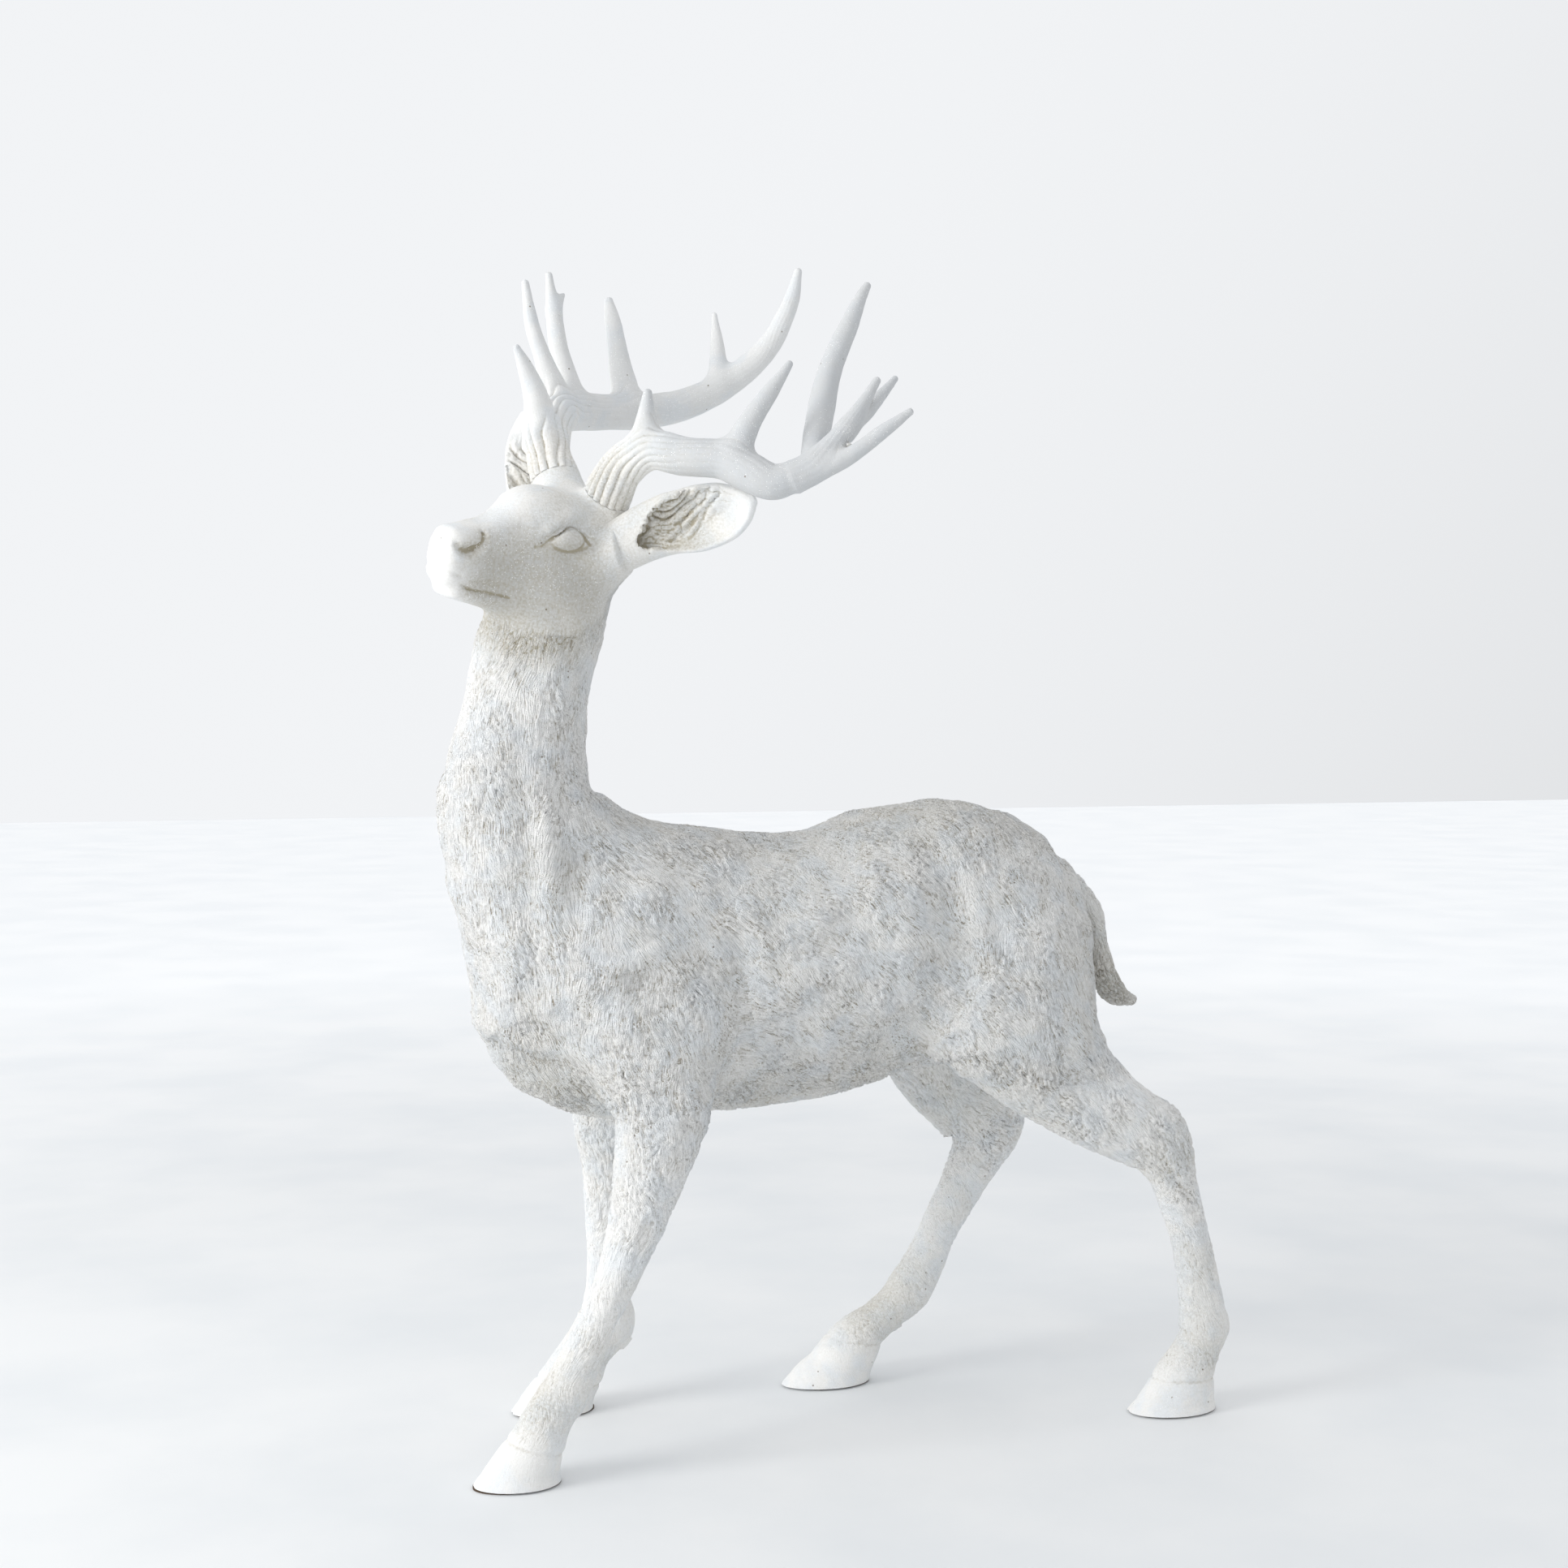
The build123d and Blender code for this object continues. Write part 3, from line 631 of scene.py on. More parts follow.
# How softly each form runs into the one that it joins, in millimetres
BLEND = {"neck": 34, "thigh": 16, "fore": 22, "hind": 26, "jaw": 5, "pedicle": 8, "ear": 14, "head": 14}


def figure_plain(points):
    """The deer without ears, tail and antlers."""
    out = join(trunk.field(points), neck.field(points), BLEND["neck"])
    for name, leg in legs.items():
        limb_field = leg.field(points)
        if name == "left_hind":
            limb_field = join(limb_field, thigh.field(points), BLEND["thigh"])
        out = join(out, limb_field, BLEND[name.split("_")[1]])
    head = join(skull.field(points), lower_jaw.field(points), BLEND["jaw"])
    for stub in pedicles:
        head = join(head, stub.field(points), BLEND["pedicle"])
    for root in ear_roots:
        head = join(head, root.field(points), BLEND["ear"])
    return join(out, head, BLEND["head"])


SIDES = (-1, 1)                         # left and right
# The ledge of the breast, where longer hair hangs over, and the groove under it
BREAST_LEDGE = [(-246, 8, 292), (-237, 24, 287), (-224, 34, 281), (-204, 43, 276), (-184, 51, 271),
                (-170, 60, 266)]
UNDER_LEDGE = [(-240, 8, 280), (-230, 22, 275), (-216, 31, 268), (-200, 39, 263), (-184, 46, 257)]


def leaning(degrees):
    """Axes turned in the side view by that many degrees."""
    a = math.radians(degrees)
    return np.array([[math.cos(a), 0, math.sin(a)], [0, 1, 0], [-math.sin(a), 0, math.cos(a)]])


# Muscles and hollows of each side: (x, |y|, z), (sizes), lean, height
MUSCLES = [
    ((-140, 58, 352), (30, 22, 52), -18, 5.0),          # shoulder blade
    ((-172, 58, 300), (26, 20, 34), 20, 4.0),           # point of the shoulder
    ((-106, 62, 292), (20, 22, 26), 0, 4.5),            # elbow
    ((-153, 66, 322), (15, 18, 17), 0, -4.5),           # hollow above the elbow
    ((-187, 50, 398), (13, 18, 20), -20, -4.0),         # hollow at the foot of the neck
    ((-110, 38, 408), (34, 26, 13), 0, 3.0),            # withers
    ((-20, 64, 320), (62, 24, 55), 0, 2.0),             # ribs
    ((-48, 62, 308), (20, 20, 12), 35, 2.6),            # unevenness of the rib cage
    ((-4, 60, 350), (20, 20, 14), -30, -1.8),
    ((20, 60, 290), (22, 20, 14), 20, 1.8),
    ((66, 62, 345), (20, 26, 40), -10, -4.0),           # flank
    ((60, 60, 262), (20, 20, 16), 0, -1.8),             # fold in front of the thigh
    ((135, 60, 338), (40, 22, 56), 24, 5.0),            # haunch
    ((122, 64, 290), (18, 16, 22), 0, 2.4),             # thigh
    ((168, 52, 300), (12, 26, 34), 18, -2.6),           # furrow behind the thigh
    ((88, 40, 420), (34, 26, 13), 0, 3.0),              # hip
    ((30, 30, 418), (26, 22, 8), 0, -1.5),              # loin
]
# Furrows and ridges of each side: [(x, |y|, z)...], width, height
FOLDS = [
    ([(-222, 40, 520), (-226, 46, 470), (-222, 52, 400), (-221, 52, 345), (-220, 50, 290)], 8, -3.0),
    ([(-185, 34, 530), (-200, 45, 470), (-208, 52, 410), (-208, 54, 350)], 11, 2.4),
    ([(-100, 50, 392), (-86, 60, 360), (-82, 62, 325), (-79, 62, 290), (-76, 56, 262)], 7.5, -2.6),
    ([(-78, 54, 385), (-68, 62, 350), (-65, 64, 315), (-64, 60, 280)], 10, 1.4),
    ([(66, 54, 390), (74, 64, 345), (76, 66, 300), (70, 62, 270)], 7, -2.6),
    ([(84, 50, 395), (92, 64, 345), (92, 68, 300), (80, 64, 262)], 8, 2.6),
    ([(-178, 60, 240), (-172, 64, 205), (-160, 70, 165)], 5, -1.6),
    ([(-126, 66, 232), (-135, 70, 190)], 6, -1.8),
]
RIBS = [([(x, 66, 372), (x + 6, 72, 320), (x - 6, 66, 262)], 6.5, 1.0) for x in (-52, -30, -8, 14, 36)]


def sided(rows, side):
    """Places given for the right-hand side, put on either side."""
    return np.array(rows, float) * [1, side, 1]


def body_relief(points):
    """Muscles, hollows, ribs and the ridge of the breast."""
    out = np.zeros(len(points))
    for side in SIDES:
        for place, sizes, lean, height in MUSCLES:
            out += bulge(points, sided(place, side), sizes, leaning(lean), height)
        for path, width, height in FOLDS + RIBS:
            out += stroke(points, sided(path, side), width, height)
        for rows, height in ((BREAST_LEDGE, 3.0), (UNDER_LEDGE, -3.2)):
            out += stroke(points, sided(rows, side), 5, height)
    return out + 1.6 * noise(points, 20, 61) * ramp(points[:, 2], 190, 260)


LEG_RELIEF = {
    # Relief: [(x, y, z)...], width, height
    "left_fore": [
        ([(-196, -69, 92), (-214, -69, 52)], 3, 1.0),
        ([(-150, -80, 168), (-158, -82, 140), (-170, -78, 112)], 3.5, -1.3),
        ([(-176, -60, 172), (-182, -62, 138), (-196, -64, 106)], 3.5, -1.0),
        ([(-186, -69, 47), (-191, -69, 38)], 6, 2.2),
        ([(-243, -69, 30), (-266, -69, 0)], 1.6, -2.6),
    ],
    "right_fore": [
        ([(-118, 80, 168), (-121, 80, 140), (-124, 78, 110)], 3.5, -1.3),
        ([(-123, 69, 48), (-128, 69, 38)], 6, 3.2),
        ([(-190, 69, 26), (-212, 69, 0)], 1.6, -2.6),
    ],
    "left_hind": [
        ([(168, -82, 214), (196, -82, 198), (226, -80, 176), (248, -78, 150)], 4, -1.8),
        ([(214, -82, 204), (236, -82, 190), (245, -80, 172)], 3.5, -2.6),
        ([(256, -80, 136), (262, -80, 104), (266, -80, 80)], 3, -1.3),
        ([(268, -69, 44), (268, -69, 34)], 6, 3.0),
        ([(236, -69, 34), (208, -69, 2)], 1.6, -2.6),
    ],
    "right_hind": [
        ([(134, 80, 200), (156, 80, 180), (160, 80, 160)], 4, -2.0),
        ([(86, 69, 38), (82, 69, 30)], 6, 3.0),
        ([(32, 69, 34), (-2, 69, 2)], 1.6, -2.6),
    ],
}


def span_plane(front, rear, y):
    """The plane of a span of the side profile: its middle and its upward normal."""
    (fx, fz), (rx, rz) = front, rear
    across = unit(np.array([rx - fx, 0.0, rz - fz]))
    return np.array([(fx + rx) / 2, y, (fz + rz) / 2]), np.array([-across[2], 0.0, across[0]])


def coronet(points, name):
    """The step where the hair ends above the hoof."""
    front, rear, y, _ = SPANS[name][HOOF_SPAN]
    middle, up = span_plane(front, rear, y)
    gap = (points - middle) @ up
    near = np.sum((points - middle) ** 2, axis=1) < HOOF_REACH ** 2
    step = 0.4 * np.exp(-((gap - 2.0) / 3.0) ** 2) - 0.9 * np.exp(-((gap + 3.0) / 1.5) ** 2)
    return np.where(near, step, 0)


def leg_relief(points):
    """Sinews, dewclaws, coronets, the clefts of the hooves and their flared soles."""
    out = np.zeros(len(points))
    for name, strokes in LEG_RELIEF.items():
        near = legs[name].near(points)
        if near.any():
            local = points[near]
            rise = coronet(local, name)
            for path, width, height in strokes:
                rise = rise + stroke(local, path, width, height)
            out[near] += rise + 1.3 * ramp(local[:, 2], 9, 1)
    return out


# Relief of each side of the face, (s, w, t): soft rises and hollows, then lines
FACE_FORMS = [
    ((3, 34, 8), (18, 9, 13), -2.6),                    # eye socket
    ((29, 26, 2), (13, 8, 8), -2.0),                    # below the inner corner of the eye
    ((33, 19, 16), (12, 10, 9), -1.4),                  # between forehead and bridge
    ((4, 30, -20), (20, 12, 12), 2.8),                  # cheek
    ((42, 21, -6), (18, 8, 10), -1.6),                  # side of the bridge
    ((71.5, 12.7, 4.4), (5.5, 6, 3.4), 2.6),            # flap of the nostril
    ((74, 15.5, -2.5), (6, 6, 3.6), -1.6),              # the hollow under it
    ((76, 12, -23), (10, 8, 5), 1.2),                   # upper lip
    ((66, 13, -36), (13, 7, 4), 1.6),                   # lower lip
    ((88.8, 1, -18), (1.8, 2.2, 1.6), -1.4),            # the split of the upper lip
    ((20, 10, 30), (14, 12, 8), 1.2),                   # forehead over the stop
]
# Creases and ridges of each side of the face: [(s, w, t)...], width, height
FACE_LINES = [
    # brow, and the furrow under it
    ([(22, 26, 12), (17.9, 27.9, 15.5), (10.5, 28.1, 20), (-0.2, 26.5, 24.5), (-10, 24, 26)], 3.6, 2.6),
    ([(23, 28, 5), (18, 28.5, 10.5), (11, 28.5, 17.2), (3, 28, 20.4), (-8, 28, 21)], 3.0, -0.9),
    # edge of the bridge, and the tear line
    ([(60, 13, 9), (46, 15, 12.5), (36, 18, 17.5), (26, 24, 18)], 3.4, 1.3),
    ([(28, 26, 1.6), (24, 28, 2.4), (18, 30, 4.5)], 1.4, -0.9),
    # nostril: its two ends and the rim round it
    ([(81, 13, 1), (79, 14.7, -2.8), (72.9, 15.7, -3.9), (66, 15.6, -1.2)], 2.2, -3.2),
    ([(72.9, 15.7, -3.6), (64.8, 15.4, 0.5), (61.6, 13, 5), (61.4, 11.5, 8.5)], 1.5, -2.4),
    ([(58.5, 12, 9), (58.5, 14.5, 3.5), (61, 16.6, -3), (69.7, 16.6, -8.4), (77, 15, -9.5)], 2.6, 1.5),
    # mouth, and the edge of the upper lip
    ([(74, 15.2, -26.3), (66.2, 15.6, -29.5), (54.5, 16.8, -30.9), (38, 18.7, -33.4)], 1.15, -3.0),
    ([(88.6, -0.4, -17.6), (87.7, 8.3, -17), (82.9, 14.9, -18), (75, 16, -21)], 1.8, -1.6),
    # before the ear
    ([(-44, 24, 24), (-47, 21, 8), (-46, 22, -10)], 1.8, -1.4),
]
# Eyelids: [(s, w, t)...], width, height
LIDS = [
    ([(23, 28.5, 2.6), (16.5, 29.5, 9), (9.3, 29.9, 14.2), (2.4, 30.3, 16), (-5, 32.9, 12.5),
      (-9.5, 35, 6.5)], 0.95, -2.4),
    ([(23, 28.5, 2.6), (14, 31, 1.6), (4, 34, 0.8), (-5, 35.5, 3), (-9.5, 35, 6.5)], 1.1, -0.45),
]
EYE, EYE_SIZES, EYE_REACH = (4.6, 27.2, 8.6), np.array([13.5, 9.8, 8.6]), 40
SQUASH = np.array([1, 0.35, 1])         # lines reach deeper than they are wide


def face_line(points, side, rows, width, height):
    """A line on one side of the face."""
    path = [row * SQUASH for row in sided(rows, side)]
    return stroke(in_head(points) * SQUASH, path, width, height)


def head_relief(points):
    """Brow, sockets, nostrils, mouth and cheeks."""
    out = np.zeros(len(points))
    for side in SIDES:
        for (s, w, t), sizes, height in FACE_FORMS:
            out += bulge(points, on_head(s, w * side, t), sizes, HEAD_AXES, height)
        for line in FACE_LINES:
            out += face_line(points, side, *line)
    return out


def with_eyes(field, points):
    """Blank almond eyes and their lids joined to a head's field."""
    out = field
    for side in SIDES:
        middle = on_head(EYE[0], EYE[1] * side, EYE[2])
        near = np.sum((points - middle) ** 2, axis=1) < EYE_REACH ** 2
        if near.any():
            local = (points[near] - middle) @ HEAD_AXES.T / EYE_SIZES
            ball = (np.linalg.norm(local, axis=1) - 1) * 9.5
            out[near] = join(out[near], ball, 0.8)
            for lid in LIDS:
                out[near] -= face_line(points[near], side, *lid)
    return out


def figure_carved(points):
    """The deer with its relief."""
    out = figure_plain(points) - body_relief(points) - leg_relief(points)
    near_head = points[:, 2] > NECK_SEAM - 12
    if near_head.any():
        local = points[near_head]
        out[near_head] = with_eyes(out[near_head] - head_relief(local), local)
    return out


def inside_box(field, low, high):
    """The field closed off by a box."""
    low, high = np.array(low, float), np.array(high, float)

    def closed(points):
        wall = np.max(np.maximum(low - points, points - high), axis=1)
        return np.maximum(field(points), wall)
    return closed


# ---- ears ----------------------------------------------------------------------------------------
# Sections along an ear: (share of its length, shift to its upper edge, half width, half thickness)
EAR_OUTSIDE = [(-0.12, 1.5, 17, 14), (0, 3.0, 18, 14), (0.18, 4.5, 19, 12), (0.37, 4.2, 20.5, 11),
               (0.56, 0.8, 22.2, 10.5), (0.76, -1.6, 20, 8.5), (0.885, -2.0, 15, 6), (0.96, -1.8, 9.2, 4),
               (1.0, -1.6, 4.5, 2.6)]
EAR_INSIDE = [(0.10, 1.0, 4.5, 4), (0.20, 0.5, 9, 6.5), (0.37, 2.0, 16.5, 9), (0.56, 0.2, 19.6, 9.5),
              (0.76, -2.0, 17.6, 7.5), (0.885, -2.2, 12.6, 5), (0.955, -2.0, 7, 3)]
CUP = 6.0                               # how far the hollow is moved the way the ear opens


class Ear:
    """A cupped ear with carved tufts of hair in it."""

    def __init__(self, base, tip, opening, upper):
        self.base, self.upper = np.array(base, float), upper
        reach = np.array(tip, float) - self.base
        self.length = np.linalg.norm(reach)
        self.way = reach / self.length
        opening = np.array(opening, float)
        self.opening = unit(opening - (opening @ self.way) * self.way)
        self.across = np.cross(self.way, self.opening)
        self.outside = self.tube(EAR_OUTSIDE, 0, 2.0)
        self.inside = self.tube(EAR_INSIDE, CUP, 2.0)

    def tube(self, rows, shift, cap):
        """A tube through an ear's sections."""
        centre = np.array([self.base + self.way * self.length * r[0] + self.across * self.upper * r[1]
                           + self.opening * shift for r in rows])
        across = np.tile(self.across, (len(rows), 1))
        return Tube(centre, across, [r[2] for r in rows], [r[3] for r in rows], cap)

    def plain(self, points):
        """The cup without its tufts."""
        return -join(-self.outside.field(points), self.inside.field(points), 2.0)

    def strands(self, points):
        """The height of the hair carved in the cup, in millimetres."""
        offset = points - self.base
        share, side = offset @ self.way / self.length, offset @ self.across
        up = side * self.upper
        cup = ramp(self.inside.field(points), 2.2, 0.0) * ramp(share, 0.1, 0.2) * ramp(share, 0.95, 0.7)
        cup = cup * ramp(up + 13 - 24 * (share - 0.2) + 2 * noise(points, 9, 75), -2.5, 3)
        flow = unit(self.way - self.across * (0.55 * np.cos(share * 11 + 0.4 + side * 0.05))[:, None])
        broad, fine = locks(points, flow, 5.0, 30, 71), locks(points, flow, 2.4, 17, 72)
        return cup * (4.4 * (broad - 0.5) + 1.7 * (fine - 0.5))


LEFT_EAR = Ear((-150, -27, 603.5), (-77, -75, 635), (-0.55, -0.83, -0.1), -1)
RIGHT_EAR = Ear((-186, 44, 620), (-193, 97, 706), (-0.6, -0.7, 0.3), -1)


# ---- antlers -------------------------------------------------------------------------------------
def antler_field(tubes):
    """A beam and its tines, softly joined."""
    def field(points):
        out = tubes[0].field(points)
        for tine in tubes[1:]:
            out = join(out, tine.field(points), 7)
        return out
    return field


FURROWED_SIDE = 2.2                     # the side of a beam with the deepest furrows, in radians
FURROWS = 8.5                           # how close together they are round the beam


def antler_relief(points, beam, seed):
    """Long furrows that are deep at the base and fade along the beam."""
    x, y, _, size, place, _ = beam.local(points)
    round_it = np.arctan2(y / size[:, 1], x / size[:, 0])
    turn = round_it + 0.9 * place + 0.35 * noise(points, 20, seed)
    deep = 0.55 + 0.45 * np.cos(round_it - FURROWED_SIDE)
    strength = (ramp(place, 0.38, 0.12) * 2.6 + ramp(place, 0.7, 0.2) * 0.3 + 0.3) * deep
    near = ramp(np.hypot(x, y), 30, 18)
    furrow = np.abs(np.sin(turn * FURROWS + 1.4 * noise(points, 26, seed + 3))) ** 0.6 - 0.65
    lumps = 0.35 * noise(points, 14, seed + 1) + 0.12 * noise(points, 5, seed + 2)
    return near * strength * furrow + lumps


# ---- making the castings -------------------------------------------------------------------------
def mesh_object(name, points, faces):
    """A mesh object from millimetre points."""
    mesh = bpy.data.meshes.new(name)
    mesh.vertices.add(len(points))
    mesh.vertices.foreach_set("co", (np.asarray(points) * MM).astype(np.float32).ravel())
    sides = faces.shape[1]
    mesh.loops.add(len(faces) * sides)
    mesh.loops.foreach_set("vertex_index", faces.astype(np.int32).ravel())
    mesh.polygons.add(len(faces))
    mesh.polygons.foreach_set("loop_start", np.arange(0, len(faces) * sides, sides, dtype=np.int32))
    mesh.update(calc_edges=True)
    mesh.validate()
    obj = bpy.data.objects.new(name, mesh)
    bpy.context.scene.collection.objects.link(obj)
    return obj


def slab(middle, way, sizes):
    """A box that stands on a plane: middle of its base, the way it rises, (length, width, height)."""
    turn = Vector(way).normalized().to_track_quat("Z", "Y").to_matrix().to_4x4()
    length, width, height = sizes
    corners = [(x * length / 2, y * width / 2, z * height)
               for x in (-1, 1) for y in (-1, 1) for z in (0, 1)]
    points = np.array([np.array(turn @ Vector(c)) + np.array(middle, float) for c in corners])
    faces = np.array([(0, 1, 3, 2), (4, 6, 7, 5), (0, 4, 5, 1), (2, 3, 7, 6), (0, 2, 6, 4), (1, 5, 7, 3)])
    return mesh_object("cutter", points, faces)


def drum(middle, way, radius, height, start=0.0):
    """A round cutter that rises from a plane, from start to height above it."""
    turn = Vector(way).to_track_quat("Z", "Y").to_matrix()
    bm = bmesh.new()
    bmesh.ops.create_cone(bm, cap_ends=True, segments=48, radius1=radius * MM, radius2=radius * MM,
                          depth=(height - start) * MM)
    mesh = bpy.data.meshes.new("cutter")
    bm.to_mesh(mesh)
    bm.free()
    obj = bpy.data.objects.new("cutter", mesh)
    bpy.context.scene.collection.objects.link(obj)
    place = Vector(middle) * MM + turn @ Vector((0, 0, (height + start) / 2 * MM))
    mesh.transform(turn.to_4x4())
    mesh.transform(Matrix.Translation(place))
    return obj


def trim(obj, cutters):
    """Cuts a casting with closed cutters, and removes them."""
    for cutter in cutters:
        step = obj.modifiers.new("cut", "BOOLEAN")
        step.operation = "DIFFERENCE"
        step.solver = "MANIFOLD"
        step.object = cutter
    bpy.context.view_layer.update()
    cut = bpy.data.meshes.new_from_object(obj.evaluated_get(bpy.context.evaluated_depsgraph_get()))
    old = obj.data
    obj.modifiers.clear()
    obj.data = cut
    cut.name = old.name + "_cut"
    bpy.data.meshes.remove(old)
    for cutter in cutters:
        mesh = cutter.data
        bpy.data.objects.remove(cutter)
        bpy.data.meshes.remove(mesh)


def read_points(mesh):
    """A mesh's vertices in millimetres and its normals."""
    count = len(mesh.vertices)
    flat = np.empty(count * 3, np.float32)
    mesh.vertices.foreach_get("co", flat)
    points = flat.reshape(-1, 3).astype(float) / MM
    mesh.vertices.foreach_get("normal", flat)
    return points, flat.reshape(-1, 3).astype(float)


def hollowness(mesh, rounds):
    """How far each vertex lies below its surroundings, in millimetres."""
    points, normal = read_points(mesh)
    pairs = np.empty(len(mesh.edges) * 2, np.int32)
    mesh.edges.foreach_get("vertices", pairs)
    a, b = pairs.reshape(-1, 2).T
    count = np.bincount(a, minlength=len(points)) + np.bincount(b, minlength=len(points))
    smooth = points
    for _ in range(rounds):
        total = gather(a, smooth[b], len(points)) + gather(b, smooth[a], len(points))
        smooth = total / np.maximum(count, 1)[:, None]
    return np.sum((smooth - points) * normal, axis=1)


# Where the beige patina gathers: (x, |y|, z), reach, amount
PATINA = [
    ((-214, 22, 550), 24, 0.6), ((-232, 16, 558), 22, 0.5), ((-196, 32, 546), 24, 0.5),
    ((-222, 30, 268), 30, 0.3), ((-190, 24, 236), 40, 0.4), ((-60, 30, 222), 40, 0.5),
    ((20, 30, 232), 40, 0.5), ((-262, 10, 600), 26, 0.3), ((222, 0, 300), 42, 0.9),
    ((-222, 69, 50), 26, 0.7), ((-150, 69, 30), 26, 0.5), ((60, 69, 60), 34, 0.8),
    ((255, 69, 40), 30, 0.6), ((-200, 69, 80), 30, 0.3), ((190, 50, 320), 40, 0.3),
    ((232, 74, 180), 24, 0.5),
    ((262, 69, 110), 34, 0.35), ((-186, 36, 660), 28, 1.0), ((-150, 20, 640), 22, 0.4),
    ((-120, 10, 424), 40, 0.4), ((-40, 10, 420), 46, 0.3), ((40, 10, 434), 46, 0.4),
    ((100, 10, 438), 46, 0.4), ((160, 10, 416), 40, 0.4), ((-130, 50, 625), 40, 0.45),
    ((-235, 30, 582), 34, 0.35), ((-186, 32, 600), 30, 0.35), ((130, 60, 230), 40, 0.3),
]
# Darker beige on the head, in its own axes, at the nostrils, mouth, eye corners and before the ears, and
# painted shade over the sides of the face and under the jaw: (s, |w|, t), reach, amount
HEAD_PATINA_AND_SHADE = [
    ((73, 15, -3), 7, 1.2), ((62, 13, 4), 5, 1.0), ((66, 15, -29), 6, 0.7), ((48, 17, -32), 6, 0.7),
    ((20, 30, -10), 32, 0.65), ((50, 20, -12), 22, 0.6), ((-10, 30, -30), 32, 0.7),
    ((30, 20, -45), 26, 0.8), ((-9, 34, 8), 5, 0.4), ((-48, 30, 4), 22, 0.4),
]
# Painted shade on the sides of the face, which turn grey: (s, |w|, t), reach, amount
FACE_SHADE = [
    ((22, 28, -8), 32, 0.75), ((-10, 32, -26), 30, 0.7), ((54, 20, -14), 18, 0.7), ((44, 12, -46), 22, 0.5),
]


def spots(points, table):
    """Soft round spots on both sides of a middle plane, added up."""
    folded = np.c_[points[:, 0], np.abs(points[:, 1]), points[:, 2]]
    return sum(amount * np.exp(-np.sum((folded - place) ** 2, axis=1) / reach ** 2)
               for place, reach, amount in table)


def patina_and_painted_shade(points):
    """How strongly the beige patina shows at each point; over the sides of the face and under the jaw it is
    painted shade.
    """
    # the head's spots over the cheeks and under the jaw are painted shade
    out = spots(points, PATINA) + spots(in_head(points), HEAD_PATINA_AND_SHADE)
    for ear in (LEFT_EAR, RIGHT_EAR):
        share = (points - ear.base) @ ear.way / ear.length
        out += 0.9 * ramp(ear.inside.field(points), 2.0, -0.5) * ramp(share, 0.95, 0.3)
    return np.clip(out, 0, 1)


def body_painted_shade(points):
    """Painted shade: where the body's paint turns bluish grey, in its broad hollows and on the sides of the
    face.
    """
    # painted shade: the broad hollows of the relief are turned grey, and so are the sides of the face
    hollows = 0.3 * np.clip(-body_relief(points) / 8.0, 0, 1)
    return np.clip(hollows + spots(in_head(points), FACE_SHADE), 0, 1)


def antler_cool(points):
    """The antlers turn a dusty grey above their roots."""
    gap = np.min([np.linalg.norm(points - base[0], axis=1) for base in (LEFT_BASE, RIGHT_BASE)], axis=0)
    right_side = ramp(points[:, 1], -20, 40)
    return (0.95 - 0.55 * right_side) * ramp(gap + 14 * noise(points, 20, 81), 30, 90)


def dress(obj, hair_share, grey_and_painted_shade):
    """Stores what the finish reads: hollows, patina with painted shade on the face, the antlers' grey and the
    body's painted grey shade, and the lie of the hair.
    """
    mesh = obj.data
    points, _ = read_points(mesh)
    fine, broad = hollowness(mesh, 2), hollowness(mesh, 14)
    values = {"hollow": np.clip(fine / 0.25, -1, 1) * 0.6 + np.clip(broad / 1.5, -1, 1) * 0.4,
              "patina_and_painted_shade": patina_and_painted_shade(points), "hair": hair_share(points),
              "grey_and_painted_shade": grey_and_painted_shade(points)}
    for name, rows in values.items():
        mesh.attributes.new(name, "FLOAT", "POINT").data.foreach_set("value", rows.astype(np.float32))
    lie = mesh.attributes.new("lie", "FLOAT_VECTOR", "POINT")
    lie.data.foreach_set("vector", hair_way(points).astype(np.float32).ravel())
    mesh.shade_smooth()
    mesh.set_sharp_from_angle(angle=math.radians(62))


LOCK_MEAN = 0.62                        # the usual value of a lock, where the skin is left as it is


def hair_height(points):
    """The height of the carved hair over the skin, in millimetres."""
    way = hair_way(points)
    tufts = locks(points, way, 3.0, 11, 11) - LOCK_MEAN
    fine = locks(points, way, 1.8, 6.5, 12) - LOCK_MEAN
    patch = np.clip(1.0 + 0.9 * noise(points, 17, 14), 0.35, 1.6)
    fringe = 1 + 0.8 * ramp(points[:, 2], 262, 232)
    return fringe * patch * (1.0 * tufts + 1.05 * fine) + 0.6 * noise(points, 10, 13)


def bare(points):
    """No hair."""
    return np.zeros(len(points))


def body_hair(points):
    """Full over the trunk, thinner down the legs."""
    return 0.45 + 0.55 * ramp(points[:, 2], 190, 250) - 0.35 * ramp(points[:, 2], 470, 540)


def leg_hair(points):
    """Fading out towards the hooves."""
    return (0.24 + 0.34 * ramp(points[:, 2], 60, 215)) * ramp(points[:, 2], 20, 38) + 0.05


# The line of the jaw, where the fur begins: places along the muzzle, and how far down each is
JAW = ([-48, -36, -24, 4, 32, 44, 60], [-8, 12, 35, 51, 50, 44, 42])


def head_hair(points):
    """Only on the neck, below the line of the jaw."""
    local = in_head(points)
    return 0.65 * ramp(-local[:, 2] - np.interp(local[:, 0], *JAW) + 1.5 * noise(points, 6, 21), -2, 9)


HUGE = 1000.0
LEFT_SEAM, RIGHT_SEAM = span_plane((97, 233), (200, 243), -60), span_plane((68, 234), (176, 262), 59)
HALF_WIDE = 120.0                       # a hind-leg cutter covers one side of the deer only
BODY_CUT_SHIFT = 20                     # the one that cuts the body reaches further back


